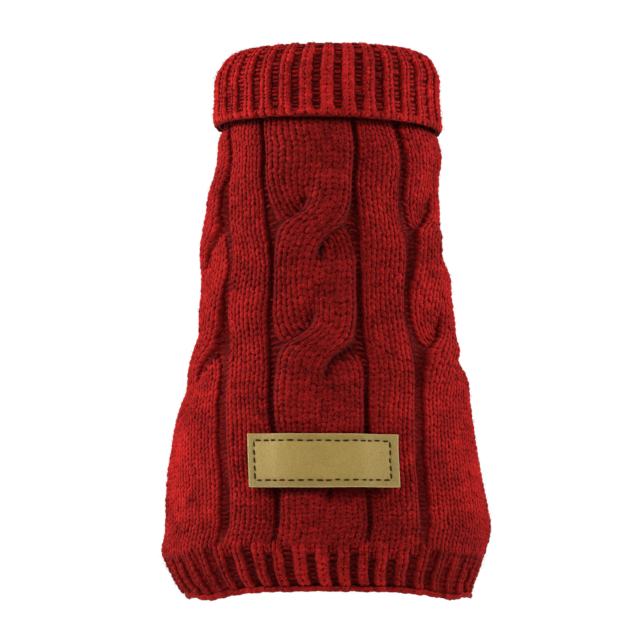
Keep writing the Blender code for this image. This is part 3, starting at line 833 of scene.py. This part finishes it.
def backBars():
    # from the wale beside each gutter to the edge of its rope: starts, ends, leanings and heights
    rows = courseRows(pattern["courses"], bars["first"], body["hemTop"] - bars["last"])[0]
    run, under = sideRun(rows), bars["overlap"]
    left, right = ropeEdges(rows, 1.0)
    sideLeft, sideRight = ropeEdges(rows, run)
    cable = pattern["sideCable"] * pattern["wale"]
    near, far, outer = (np.full_like(rows, band * pattern["wale"]) for band in bars["bands"])
    outer = np.where(run > 0.5, outer, 0.0)
    gutters = [
        (right - under, near, -1.0), (-near, left + under, 1.0),
        (far, cable + sideLeft + under, 1.0), (-cable + sideRight - under, -far, -1.0),
        (cable + sideRight - under, outer, -1.0), (-outer, -cable + sideLeft + under, 1.0),
    ]
    starts, ends = (np.concatenate([gutter[end] for gutter in gutters]) for end in (0, 1))
    leans = np.repeat([gutter[2] for gutter in gutters], len(rows))
    rows = np.tile(rows, len(gutters))
    limit = edgeShare(rows, -body["seamClear"]) * halfGirth(rows)
    keep = (ends - starts > bars["shortest"]) & (np.maximum(abs(starts), abs(ends)) < limit)
    return starts[keep], ends[keep], leans[keep], rows[keep]


barStart, barEnd, barLean, barRow = backBars()


def placeBars(i, u, v, w):
    # u runs the bar's own length; long bars lean up towards the rope, all lie on the gutter's floor
    t = u / bars["length"] + 0.5
    length = barEnd[i] - barStart[i]
    lean = barLean[i] * bars["lean"] * np.maximum(length - bars["upright"], 0.0)
    row = barRow[i] + v + lean * (t - 0.5)
    share = (barStart[i] + length * t) / halfGirth(row)
    height = lifted(share, row)
    floor = smoothStep(height, *pattern["topFloor"]) * (1.0 - bars["hemRise"] * atHem(height))
    out = -(pattern["gutterDepth"] + bars["below"]) * floor - stitch["barSunk"] + w
    return onBody(share, height, out)


def layBars():
    share = 0.5 * (barStart + barEnd) / halfGirth(barRow)
    # painted shade of the purl bars
    dark = paintedLightAndShade(share, barRow) * (shades["bars"] - faded(shades["sideBars"], np.abs(share)))
    bar = purlBar(bars["length"])
    return layStrands("back_purl_bars", bar, placeBars, len(barRow), yarnWool, dark, bars["tint"])


backPieces.append(layBars())


# belly panel: plain knitting
belly = dict(
    columns=56, rows=64, wales=17, first=-2.4, last=2.0,
    courses=((0.0, 2.65), (-72.0, 2.65), (-78.0, 3.6), (-182.0, 3.6)),
)


def addBellyWall():
    rows = np.linspace(body["hemTop"], 0.0, belly["rows"])[:, None]
    edge = 1.0 - edgeShare(rows, 0.5 * body["seamGap"])
    reach = np.linspace(-1.0, 1.0, belly["columns"]) * edge
    share = wrapped(1.0 + reach)
    height = lifted(share, rows)
    outer = onBody(share, height, -back["sunk"] - seamDip((edge - np.abs(reach)) * halfGirth(rows)))
    inner = onBody(share, height, -back["sunk"] - back["wall"])
    values = clothValues(reach * halfGirth(rows), rows)
    return addWall("belly_cloth", outer, inner, False, backing, cloth=values)


def bellyStitches():
    wales = (np.arange(-belly["wales"], belly["wales"]) + 0.5) * pattern["wale"]
    courses, steps = courseRows(belly["courses"], belly["first"], body["hemTop"] - belly["last"])
    wale, row = combined(wales, courses)
    keep = np.abs(wale) < bellyHalf(row) - 0.25 * pattern["wale"]
    return wale[keep], row[keep], np.tile(steps, len(wales))[keep]


bellyWale, bellyRow, bellyTall = bellyStitches()


def placeOnBelly(i, u, v, w):
    row = bellyRow[i] + v * bellyTall[i] / pattern["course"]
    room = bellyHalf(row) - stitch["clear"]
    across = np.clip(bellyWale[i] + u + wander(bellyWale[i], row), -room, room)
    share = wrapped(1.0 + across / halfGirth(row))
    return onBody(share, lifted(share, row), -stitch["sunk"] - seamDip(room - np.abs(across)) + w)


bellyCloth = addBellyWall()
bellyPieces = [layStrands("belly_stitches", plainStitch, placeOnBelly, len(bellyRow), yarnWool)]
print("belly panel:", len(bellyRow), "stitches")


# side seams: small bars of yarn that draw the two panels together
seam = dict(first=-6.0, step=3.0, count=58, length=3.4, arch=0.1, lean=0.25, sunk=1.15)


def seamBars():
    rows = np.repeat(seam["first"] - seam["step"] * np.arange(seam["count"]), 2)
    sides = np.tile([-1.0, 1.0], seam["count"])
    keep = legNotch(rows) < 0.5
    return rows[keep], sides[keep]


seamRow, seamSide = seamBars()


def placeOnSeam(i, u, v, w):
    row = seamRow[i] + v + seam["lean"] * u
    share = seamSide[i] * seamShare(row) + u / halfGirth(row)
    return onBody(share, lifted(share, row), w - seam["sunk"])


seamBar = purlBar(seam["length"], seam["arch"])
seamPiece = layStrands("side_seam_yarn", seamBar, placeOnSeam, len(seamRow), yarnWool, shades["seam"])


# ribbed bands: place(turn, along, out) puts a point at a number of ribs round, millimetres along and out
def ribWave(turn, depth=1.0):
    # crowns at whole turns: 0.9 (cos + 0.35 sin^2), with deeper gutters where depth is over 1
    wave = np.cos(2.0 * math.pi * turn)
    relief = 0.9 * (wave + 0.35 * np.sin(2.0 * math.pi * turn) ** 2)
    return np.where(relief < 0.0, relief * depth, relief)


def knitRibs(name, place, relief, band, courses, first, way=1.0, rim=0, late=0,
             crown=1.0, gutter=(0.6, 0.6), aslant=0.0):
    # knit wales on the crowns and purl bars in the gutters; way is -1 where the knitting ran the other way
    # the first rim courses and the late last ones, a number for each rib, are knitted all round
    # crown is the painted light and shade of the knit stitches, and gutter the painted shade of the bars at
    # the first and the last course
    ribs, pitch, knitWide, tall = (band[key] for key in ("ribs", "pitch", "knitWide", "tall"))
    rib, course = combined(np.arange(ribs), np.arange(courses))
    along = first + tall * course
    full = (course < rim) | (course >= courses - np.broadcast_to(late, ribs)[rib])
    closing, purl = np.flatnonzero(full), np.flatnonzero(~full)

    def placer(picked, middle, sunk, level=False, flared=False):
        # middle is 0 on a crown and 0.5 in a gutter; level strands don't follow the rib's round
        def put(i, u, v, w):
            reach = along[picked[i]] + way * v
            flare = 1.0
            if flared:
                flare = flare + 0.35 * smoothStep(reach, first + tall * (rim + 1.5), first)
            turn = rib[picked[i]] + middle + way * u * flare / pitch
            ground = relief(rib[picked[i]] + middle if level else turn, reach)
            return place(turn, reach, ground - sunk + w)

        return put

    # painted shade: the crowns' outer flanks are darker, and painted light fills the grooves at the sides
    template = knitStitch(knitWide, tall, **stitch["rib"])
    crown, aslant = (np.broadcast_to(values, ribs)[rib] for values in (crown, aslant))
    inner, outer = shades["ribFlankFrom"]
    flank = smoothStep(np.abs(template[0][:, 0]), inner * knitWide, outer * knitWide)
    flank = (1.0 - shades["ribFlank"] * (1.0 - aslant[:, None]) * flank) * paintedGrooveLight(template, aslant)
    knit = placer(np.arange(len(rib)), 0.0, stitch["sunk"], flared=rim > 0)
    pieces = [layStrands(name + "_knit", template, knit, len(rib), yarnWool, crown[:, None] * flank)]

    # painted shade of the purl bars
    low, high = (np.broadcast_to(values, ribs)[rib[purl]] for values in gutter)
    shade = (low + (high - low) * np.clip(course[purl] / courses / 0.4 - 1.4, 0.0, 1.0)) * crown[purl]
    bar = purlBar(pitch - 0.55 * knitWide)
    shade = shade[:, None] * paintedGrooveLight(bar, aslant[purl])
    sunken = placer(purl, 0.5, stitch["barSunk"], level=True)
    pieces.append(layStrands(name + "_purl", bar, sunken, len(purl), yarnWool, shade, 0.12, 2.0))
    if len(closing):
        template = knitStitch(pitch - 1.1 * knitWide, tall)
        ending, shade = placer(closing, 0.5, stitch["closingSunk"]), shades["closing"] * crown[closing]
        pieces.append(layStrands(name + "_closing", template, ending, len(closing), yarnWool, shade))
    return pieces


def edgeChain(name, place, ribs, links, along, pitch, tall, out, shade=1.0):
    # a cast-off edge: stitches on their sides, end to end, riding the ribs
    def placeLink(i, u, v, w):
        turn = (i + u / pitch) * ribs / links
        return place(turn, along + v, 0.45 * ribWave(turn) + out + w - 0.16 * v * v)

    return layStrands(name, chainLink(pitch, tall), placeLink, links, yarnWool, shade, loose=0.8)


def ribWall(name, place, relief, ribs, perRib, along, wall):
    # the cloth under a band's stitches, ribbed outside and plain inside
    turn = np.arange(ribs * perRib)[None, :] / perRib
    along = along[:, None]
    outer = place(turn, along, relief(turn, along) - 0.65)
    inner = place(turn, along, -wall)
    return addWall(name, outer, inner, True, backing, cloth=clothValues(turn * 4.0, along))


# collar: a strip that is doubled over, from the rim outside, over the fold, down to the seam inside
collar = dict(
    halfWidth=47.5, halfDepth=45.0, ribs=32, cloth=3.0, pitch=8.6, knitWide=4.9, tall=1.97,
    fold=(25.0, 31.0, 37.0, 45.0), rimFade=(14.0, 0.0), first=1.3,
    # height, and how far the collar lies to the right there
    shift=((-4.7, 0.6), (4.0, 0.2), (14.0, 0.1), (22.0, 0.6), (26.5, 0.9)),
    shoulder=1.0, shoulderFrom=(8.0, 20.0),
    # distance from the oval and height along the strip
    line=((-0.7, -4.7), (-1.5, 3.0), (-2.1, 12.0), (-4.2, 20.6), (-7.9, 25.2), (-11.8, 26.5), (-14.4, 24.2),
          (-12.4, 19.0), (-8.9, 9.5), (-5.9, 0.3)),
    # painted light on the crowns and painted shade in the gutters, both paler at the sides, and the painted
    # light in the grooves there
    crown=(1.13, 0.14), gutter=(0.60, 0.34), aslant=(0.4, 0.6),
)
collarLine = np.array(collar["line"])
collarSteps = np.hypot(*np.diff(collarLine, axis=0).T)
collarTable = np.column_stack([np.append(0.0, np.cumsum(collarSteps)), collarLine])
collarLength = collarTable[-1, 0]
ringAngles = np.linspace(-math.pi, math.pi, 721)
ringSteps = np.hypot(np.diff(45.5 * np.sin(ringAngles)), np.diff(43.0 * np.cos(ringAngles)))
ringShares = np.append(0.0, np.cumsum(ringSteps)) / ringSteps.sum() * 2.0 - 1.0


def onCollar(turn, along, out):
    # the line's point moved out along its normal (dz, -dx), then carried round the oval
    turn, along, out = np.broadcast_arrays(turn, along, out)
    reach = np.linspace(-3.0, collarLength + 3.0, 400)
    inside = np.clip(reach, 0.0, collarLength)
    line = throughRows(collarTable, inside)[:, 1:]
    near = throughRows(collarTable, np.clip(reach, 0.2, collarLength - 0.2))[:, 1:]
    slope = np.gradient(near, reach, axis=0)
    slope[reach < 0.5] = (0.0, 1.0)
    slope[reach > collarLength - 0.5] = (0.0, -1.0)
    slope /= np.linalg.norm(slope, axis=1, keepdims=True)
    line = line + slope * (reach - inside)[:, None]
    x, z, dx, dz = (np.interp(along, reach, values) for values in (*line.T, *slope.T))
    ring, height = x + out * dz, z - out * dx
    angle = np.interp(shareOf(turn, collar["ribs"]), ringShares, ringAngles)
    wide = collar["halfWidth"] + ring + collar["shoulder"] * smoothStep(height, *collar["shoulderFrom"])
    x = wide * np.sin(angle) + np.interp(height, *np.array(collar["shift"]).T)
    height = height + pattern["rim"][1] * (1.25 - np.sin(angle)) * smoothStep(along, *collar["rimFade"])
    return np.stack([x, -(collar["halfDepth"] + ring) * np.cos(angle), height], axis=-1)


def placeCollar(turn, along, out):
    return onCollar(turn, along, out + 0.5 * collar["cloth"])


def collarRelief(turn, along):
    # the ribs are deep outside and inside, and shallow where they are stretched over the fold
    edge = smoothStep(along, 1.0, 3.2) * smoothStep(along, collarLength, collarLength - 3.0)
    first, second, third, fourth = collar["fold"]
    fold = smoothStep(along, first, second) * smoothStep(along, fourth, third)
    soft = 1.0 - 0.35 * np.sin(2.0 * math.pi * turn / collar["ribs"]) ** 2
    return (soft * ribWave(turn, 1.1) * (1.0 - 0.7 * fold) + 0.6 * fold) * (0.25 + 0.75 * edge)


def knitCollar():
    ribs, courses = collar["ribs"], int((collarLength - collar["first"]) / collar["tall"])
    # 0 at the front and the back, 1 at the sides
    side, gutterSide = (np.sin(2.0 * math.pi * (np.arange(ribs) + step) / ribs) ** 2 for step in (0.0, 0.5))
    gutter = ramp(collar["gutter"], gutterSide)
    pieces = knitRibs(
        "collar", placeCollar, collarRelief, collar, courses, collar["first"], -1.0, rim=1,
        crown=ramp(collar["crown"], side), gutter=(gutter, gutter), aslant=ramp(collar["aslant"], side))
    # the cast-off edge is painted in shade, at half its colour
    pieces.append(edgeChain("collar_edge", placeCollar, ribs, 80, 0.25, 3.8, 1.9, -1.4, 0.5))
    print("collar:", ribs * courses, "stitches")
    return pieces


collarCloth = ribWall(
    "collar_cloth", placeCollar, collarRelief, collar["ribs"], 7, np.linspace(0.0, collarLength, 46),
    collar["cloth"] - 0.4)
collarPieces = knitCollar()


# hem band
hem = dict(
    ribs=42, pitch=8.4, knitWide=4.8, tall=2.15, courses=8, first=-200.9, wall=3.2,
    # painted shade: the crowns darker towards the sides, the bars darker towards the bottom and the cast-off
    # edge darker; aslant paints light into the grooves at the sides
    crown=0.97, sides=(0.36, 0.06, 0.3), gutter=(0.48, 0.90), aslant=(0.4, 0.6), edge=0.74,
)


def placeHem(turn, along, out):
    # turn 0 is at the pattern's middle; along is the height
    turn, along, out = np.broadcast_arrays(turn, along, out)
    share = shareOf(turn, hem["ribs"])
    return onBody(share, lifted(share, along), out)


def hemRelief(turn, along):
    # the ribs rise below the panels' last course and end above the rolled edge
    edge = smoothStep(along, body["hemBottom"] + 0.5, body["hemBottom"] + 3.5)
    start = 2.2 * np.sin(2.1 * np.floor(turn) + 0.6 * np.sin(5.0 * np.floor(turn)))
    top = smoothStep(along + start, body["hemTop"], body["hemTop"] - 12.0)
    sewn = 0.6 * smoothStep(along, body["hemTop"] - 4.0, body["hemTop"] - 1.0)
    return ribWave(turn, 1.5) * edge * top - sewn


def knitHem():
    reach = np.abs(shareOf(np.arange(hem["ribs"]), hem["ribs"]))
    pieces = knitRibs(
        "hem", placeHem, hemRelief, hem, hem["courses"], hem["first"],
        late=chance.integers(1, 4, hem["ribs"]), crown=hem["crown"] - faded(hem["sides"], reach),
        gutter=hem["gutter"], aslant=ramp(hem["aslant"], smoothStep(reach, *shades["aslantSides"])))
    pieces.append(edgeChain("hem_edge", placeHem, hem["ribs"], 110, -203.8, 3.2, 2.2, 0.0, hem["edge"]))
    print("hem band:", hem["ribs"] * hem["courses"], "stitches")
    return pieces


hemRows = np.linspace(body["hemBottom"] + 0.4, body["hemTop"] + 1.0, 18)
hemCloth = ribWall("hem_cloth", placeHem, hemRelief, hem["ribs"], 6, hemRows, hem["wall"])
hemPieces = knitHem()


# leg bands: cuffs that stand in the leg openings
cuff = dict(length=9.0, wall=2.4, ribs=12, pitch=8.4, knitWide=4.6, tall=2.1, courses=4, first=1.1)


def legPlace(side):
    def place(turn, along, out):
        # round the lens of the opening; out moves away from its middle, along stands off the cloth
        turn, along, out = np.broadcast_arrays(turn, along, out)
        angle = -side * 2.0 * math.pi * turn / cuff["ribs"]
        inset = body["seamGap"] - out
        reach = np.cos(angle)
        height = body["legHeight"] + (body["legHalfHeight"] - 1.6 * inset) * reach
        across = (body["legHalfWidth"] - inset) * (1.0 - reach * reach) * np.sign(np.sin(angle))
        share = side * wrapped(seamShare(height) + across / halfGirth(height))
        height = lifted(share, height)
        foot = onBody(share, height, 0.0)
        normal = onBody(share, height, 1.0) - foot
        lean = smoothStep(along, -0.5, 1.5)[..., None]
        aim = normal * (1.0 - 0.65 * lean) + np.array([0.0, 1.0, 0.0]) * lean
        aim /= np.linalg.norm(aim, axis=-1, keepdims=True)
        return foot + along[..., None] * aim

    return place


def legRelief(turn, along):
    # plain at both ends, and close to the panels where it is sewn to them
    edge = smoothStep(along, 0.0, 2.0) * smoothStep(along, cuff["length"], cuff["length"] - 2.0)
    return 0.7 * ribWave(turn, 1.2) * edge + 0.6 * smoothStep(along, 1.0, -0.5)


legCloths, legPieces = [], []
for name, side in (("left", -1.0), ("right", 1.0)):
    place, ribs, rows = legPlace(side), cuff["ribs"], np.linspace(-2.0, cuff["length"], 12)
    legCloths.append(ribWall("leg_cloth_" + name, place, legRelief, ribs, 8, rows, cuff["wall"]))
    pieces = knitRibs("leg_" + name, place, legRelief, cuff, cuff["courses"], cuff["first"])
    pieces.append(edgeChain("leg_edge_" + name, place, ribs, 27, cuff["length"] - 0.9, 3.9, 3.2, -0.3))
    legPieces.append(pieces)
print("leg bands made")


# label: a strip of tan leather, sewn down with brown thread
patch = dict(
    lift=(0.75, 0.3), lean=(1.15, 0.75), slack=(0.9, 1.0), ground=(0.9, 1.75),
    columns=110, rows=42, round=0.55, groove=0.16, grooveWidth=0.5, puff=0.12,
    dash=2.6, thread=0.40, threadThick=0.24, threadSunk=0.16, dashLean=0.12, longDashes=16, shortDashes=5,
    tan=(0.186, 0.115, 0.016, 1.0), pale=(0.350, 0.238, 0.042, 1.0),
    # colours of the painted shade along the stitches and of the painted highlight on the edges
    grooveShade=(0.10, 0.062, 0.016, 1.0), edgeHighlight=(0.62, 0.50, 0.20, 1.0),
    threadDark=(0.012, 0.006, 0.002, 1.0), threadPale=(0.060, 0.034, 0.012, 1.0),
)


def labelFrame():
    # edges of the label and of its rectangle of stitches, as (left, right, low, high)
    left, right = label["middle"] - 0.5 * label["width"], label["middle"] + 0.5 * label["width"]
    high = label["top"]
    low = high - label["height"]
    inLeft, inRight, inTop, inLow = label["inset"]
    return (left, right, low, high), (left + inLeft, right - inRight, low + inLow, high - inTop)


labelEdges, stitchLines = labelFrame()


def onLabel(across, height, out):
    # the rear stands over the cable and comes down on the bands beside it
    # its ends are lifted by the square of their distance, and it leans a little to the right
    reach = (across - label["middle"]) / (0.5 * label["width"])
    raised = height + reach**2 * np.where(reach < 0.0, patch["lift"][0], patch["lift"][1])
    across = across + patch["lean"][0] + patch["lean"][1] * (height - labelEdges[2]) / label["height"]
    share = across / halfGirth(raised)
    slack = ramp(patch["slack"], smoothStep(across, -5.0, 25.0))
    ground = ramp(patch["ground"], smoothStep(np.abs(across), 27.0, 12.0))
    ground = ground + slack * smoothStep(height, labelEdges[3], labelEdges[2])
    return onBody(share, lifted(share, raised), ground + out)


def closeSteps(start, end, count, corner):
    # even steps with a few close ones at both ends, where the edge is rounded
    near = corner * np.array([0.0, 0.1, 0.28, 0.55, 1.0])
    return np.concatenate([start + near, np.linspace(start, end, count)[2:-2], end - near[::-1]])


def depthIn(box, across, height):
    # distance inside a rectangle's nearest edge, minus outside it
    left, right, low, high = box
    return np.minimum(np.minimum(across - left, right - across), np.minimum(height - low, high - height))


def leatherRelief(across, height):
    # leather's thickness less its rounded edge, 1 - sqrt(1 - t^2), and a groove along the stitches
    rim, inside = (depthIn(box, across, height) for box in (labelEdges, stitchLines))
    t = 1.0 - np.clip(rim / patch["round"], 0.0, 1.0)
    left, right, low, high = stitchLines
    outside = np.hypot(np.maximum(np.maximum(left - across, across - right), 0.0),
                       np.maximum(np.maximum(low - height, height - high), 0.0))
    line = np.where(inside > 0.0, inside, outside)
    groove = patch["groove"] * np.exp(-(line / patch["grooveWidth"]) ** 2)
    puff = patch["puff"] * smoothStep(inside, 0.0, 2.5)
    return label["leather"] - patch["round"] * (1.0 - np.sqrt(1.0 - t * t)) - groove + puff, rim, inside


def addLabel():
    left, right, low, high = labelEdges
    height = closeSteps(low, high, patch["rows"], patch["round"])[:, None]
    across = closeSteps(left, right, patch["columns"], patch["round"])[None, :]
    relief, rim, inside = leatherRelief(across, height)
    values = np.stack([rim, inside, np.zeros_like(rim)], axis=-1).reshape(-1, 3)
    outer, rear = onLabel(across, height, relief), onLabel(across, height, 0.0)
    return addWall(
        "label_leather", outer, rear, False, tanLeather(), leather=np.concatenate([values, values]))


def tanLeather():
    # tan leather: fine pebbles, a clouded colour, painted shade along the stitches' groove, and a painted
    # highlight on its edges
    graph = Graph("label_tan_leather")
    rim, inside, _ = graph.parts("leather")
    place = graph.spot()
    cloud = graph.noise(place, 60.0, 3.0, 0.6)
    pores = graph.add("ShaderNodeTexVoronoi", {"feature": "DISTANCE_TO_EDGE"}, Vector=place, Scale=1300.0)
    grit = graph.noise(place, 1100.0, 3.0, 0.65)
    lit = 0.8 * cloud + 0.9 * grit + 0.24 * graph.step(inside, -0.2, 0.7) - 0.50
    colour = graph.mix(graph.add("ShaderNodeClamp", {}, lit), patch["tan"], patch["pale"])
    # painted shade along the line of stitches, where the leather dips into its groove
    sewn = graph.step(inside, -0.55, 0.0) * graph.step(inside, 0.6, 0.0) * 0.18
    colour = graph.mix(sewn, colour, patch["grooveShade"])
    # painted highlight towards the edges
    colour = graph.mix(graph.step(rim, 0.5, 0.0) * 0.6, colour, patch["edgeHighlight"])
    return graph.finish(
        colour, 0.62 - 0.2 * grit, pores * 3.0 + 1.2 * grit, 0.00016, 0.7, Specular_IOR_Level=0.45)


def threadMaterial():
    # brown thread with its twist as fine bands
    graph = Graph("label_brown_thread")
    along, around, _ = graph.parts("yarn")
    twist = (fullTurn * (5.0 * along + around)).sine() * 0.5 + 0.5
    colour = graph.mix(0.7 * twist, patch["threadDark"], patch["threadPale"])
    return graph.finish(colour, 0.85 + 0.1 * twist, twist, 0.00008, 0.6, Specular_IOR_Level=0.04)


def labelDashes():
    # middles of the dashes, and 0 where they lie level or 1 where they stand
    left, right, low, high = stitchLines
    level = left + (right - left) * (np.arange(patch["longDashes"]) + 0.5) / patch["longDashes"]
    upright = low + (high - low) * (np.arange(patch["shortDashes"]) + 0.5) / patch["shortDashes"]
    across = np.concatenate([level, level, np.full_like(upright, left), np.full_like(upright, right)])
    height = np.concatenate([np.full_like(level, low), np.full_like(level, high), upright, upright])
    return across, height, np.repeat([0.0, 1.0], [2 * len(level), 2 * len(upright)])


dashAcross, dashHeight, dashStands = labelDashes()


def dash():
    # a short stitch that goes down into the leather at both ends: height as a flat-topped arch
    t = np.array([0.0, 0.06, 0.25, 0.75, 0.94, 1.0])
    arch = np.array([-0.5, -0.12, 0.08, 0.08, -0.12, -0.5])
    path = np.stack([patch["dash"] * (t - 0.5), 0.0 * t, arch], axis=1)
    return grain(path, patch["thread"], patch["threadThick"], [0.75, 1.0, 1.0, 0.75], 8)


def placeDash(i, u, v, w):
    # level dashes run across, standing ones are turned a quarter and lean a little
    turn = dashStands[i] * (0.5 * math.pi + patch["dashLean"])
    across = dashAcross[i] + u * np.cos(turn) - v * np.sin(turn)
    height = dashHeight[i] + u * np.sin(turn) + v * np.cos(turn)
    return onLabel(across, height, label["leather"] - patch["threadSunk"] + w)


labelLeather = addLabel()
labelThread = layStrands("label_stitching", dash(), placeDash, len(dashAcross), threadMaterial(), loose=0.5)
print("label:", len(dashAcross), "stitches round its edge")


# fuzz: loose fibres that stand off the yarn, with the heights between which they are rooted in the panels
fuzz = dict(
    back=4600, belly=1300, collar=2400, hem=1200, length=(0.9, 2.6), stand=(0.10, 0.75), thick=0.022,
    panel=(-178.0, -4.0), rise=0.1,
)


def fibre():
    # a fibre one long that bends as it rises; layFibres scales it
    t = np.array([0.0, 0.05, 0.6, 1.0])
    path = np.stack([t, 0.28 * t * t, 0.0 * t], axis=1)
    return grain(path, fuzz["thick"], fuzz["thick"], [1.0, 0.85], 3)


def layFibres(name, count, place):
    # place(i, across, along, out) is given points in millimetres round each fibre's root
    turn = chance.uniform(0.0, 2.0 * math.pi, count)
    length = chance.uniform(*fuzz["length"], count)
    stand = chance.uniform(*fuzz["stand"], count)

    def placeFibre(i, u, v, w):
        level = np.sqrt(1.0 - stand[i] ** 2) * u
        across = length[i] * (level * np.cos(turn[i]) - v * np.sin(turn[i]))
        along = length[i] * (level * np.sin(turn[i]) + v * np.cos(turn[i]))
        return place(i, across, along, length[i] * (stand[i] * u * (1.2 - 0.5 * u) + w))

    return layStrands(name, fibre(), placeFibre, count, yarnWool, shades["fibres"], loose=0.0)


def fuzzBack():
    root = chance.uniform(-0.985, 0.985, fuzz["back"])
    height = chance.uniform(*fuzz["panel"], fuzz["back"])
    across = root * edgeShare(height, -body["seamClear"]) * halfGirth(height)
    away = underLabel(across, height, 1.5) < 0.1
    root, height = root[away], height[away]

    def place(i, across, along, out):
        row = height[i] + along
        share = root[i] * edgeShare(row, -body["seamClear"]) + across / halfGirth(row)
        return onBody(share, lifted(share, row), backRelief(share, row) + fuzz["rise"] + out)

    return layFibres("back_fuzz", len(root), place)


def fuzzBelly():
    root = chance.uniform(-0.97, 0.97, fuzz["belly"])
    height = chance.uniform(*fuzz["panel"], fuzz["belly"])

    def place(i, across, along, out):
        row = height[i] + along
        reach = root[i] * (1.0 - edgeShare(row, body["seamClear"]))
        share = wrapped(1.0 + reach + across / halfGirth(row))
        return onBody(share, lifted(share, row), fuzz["rise"] + out)

    return layFibres("belly_fuzz", fuzz["belly"], place)


def fuzzRibs(name, count, place, band, low, high):
    turn, along = chance.uniform(0.0, band["ribs"], count), chance.uniform(low, high, count)

    def placeRoot(i, across, up, out):
        spot = turn[i] + across / band["pitch"]
        return place(spot, along[i] + up, ribWave(spot) + fuzz["rise"] + out)

    return layFibres(name, count, placeRoot)


backPieces.append(fuzzBack())
bellyPieces.append(fuzzBelly())
collarPieces.append(fuzzRibs("collar_fuzz", fuzz["collar"], placeCollar, collar, 1.0, 45.0))
hemPieces.append(fuzzRibs("hem_fuzz", fuzz["hem"], placeHem, hem, -203.0, -183.0))
print("fuzz laid")


# each cloth stands for its solid, which is hidden; with its finish, the size it was cut to in metres, its
# area and its pieces
cuts = [
    (backCloth, "back_panel", "red_wool", (0.250, 0.190), 0.0420, [*backPieces, seamPiece]),
    (bellyCloth, "belly_panel", "red_wool", (0.132, 0.175), 0.0165, bellyPieces),
    (collarCloth, "collar", "red_wool", (0.290, 0.064), None, collarPieces),
    (hemCloth, "hem_band", "red_wool", (0.350, 0.024), None, hemPieces),
    (legCloths[0], "leg_band_left", "red_wool", (0.100, 0.012), None, legPieces[0]),
    (legCloths[1], "leg_band_right", "red_wool", (0.100, 0.012), None, legPieces[1]),
    (labelLeather, "label", "label_leather", (0.063, 0.0224), None, [labelThread]),
]
for cloth, node, finish, flat, area, pieces in cuts:
    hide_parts(node)
    for piece in [cloth, *pieces]:
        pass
    ["back_panel"] if node == "label" else []
    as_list(pieces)


# studio: a pale floor below, a white surround, and soft boxes round the sweater
studio = dict(
    floor=-0.5, half=4.0, aim=(0.0, 0.0, -0.09),
    boxes=(
        # place, width, height, watts
        ((-1.5, -0.25, 0.70), 1.7, 1.6, 56.0),
        ((1.5, -0.25, 0.65), 1.7, 1.6, 43.0),
        ((-0.3, -1.3, 1.5), 1.2, 0.8, 4.0),
        ((0.0, 1.7, 0.7), 1.6, 1.2, 12.0),
    ),
    # colour and strength of the surround, for the sweater and for the camera
    dim=((1.0, 0.99, 0.98, 1.0), 0.15), bright=((1.0, 1.0, 1.0, 1.0), 1.0),
)


def addSoftBox(index, spot, width, height, watts):
    data = bpy.data.lights.new("soft_box_%d" % index, "AREA")
    data.shape, data.size, data.size_y, data.energy = "RECTANGLE", width, height, watts
    box = placed(data.name, data)
    box.location = spot
    away = np.array(spot) - np.array(studio["aim"])
    turn = math.atan2(away[0], -away[1])
    box.rotation_euler = (math.atan2(math.hypot(away[0], away[1]), away[2]), 0.0, turn)


def addSurround():
    # white to the camera, dimmer to everything else
    world = bpy.data.worlds.new("white_surround")
    world.use_nodes = True
    bpy.context.scene.world = world
    nodes, links = world.node_tree.nodes, world.node_tree.links
    shade, white = nodes["Background"], nodes.new("ShaderNodeBackground")
    for ground, (colour, strength) in ((shade, studio["dim"]), (white, studio["bright"])):
        ground.inputs["Color"].default_value = colour
        ground.inputs["Strength"].default_value = strength
    seen, mix = nodes.new("ShaderNodeLightPath"), nodes.new("ShaderNodeMixShader")
    sources = (seen.outputs["Is Camera Ray"], shade.outputs[0], white.outputs[0])
    for source, socket in zip(sources, mix.inputs):
        links.new(source, socket)
    links.new(mix.outputs[0], nodes["World Output"].inputs["Surface"])


def addFloor():
    graph = Graph("pale_floor")
    soft = graph.noise(graph.spot(), 3.0, 2.0, 0.5)
    material = graph.finish(graph.mix(soft, (0.80, 0.80, 0.79, 1.0), (0.86, 0.86, 0.85, 1.0)), 0.8)
    mesh = bpy.data.meshes.new("floor")
    half, level = studio["half"], studio["floor"]
    corners = [(-half, -half, level), (half, -half, level), (half, half, level), (-half, half, level)]
    mesh.from_pydata(corners, [], [(0, 1, 2, 3)])
    mesh.materials.append(material)
    placed("floor", mesh)


for index, box in enumerate(studio["boxes"]):
    addSoftBox(index, *box)
addSurround()
addFloor()
bpy.context.scene.view_settings.view_transform = "Standard"
print("studio set up")
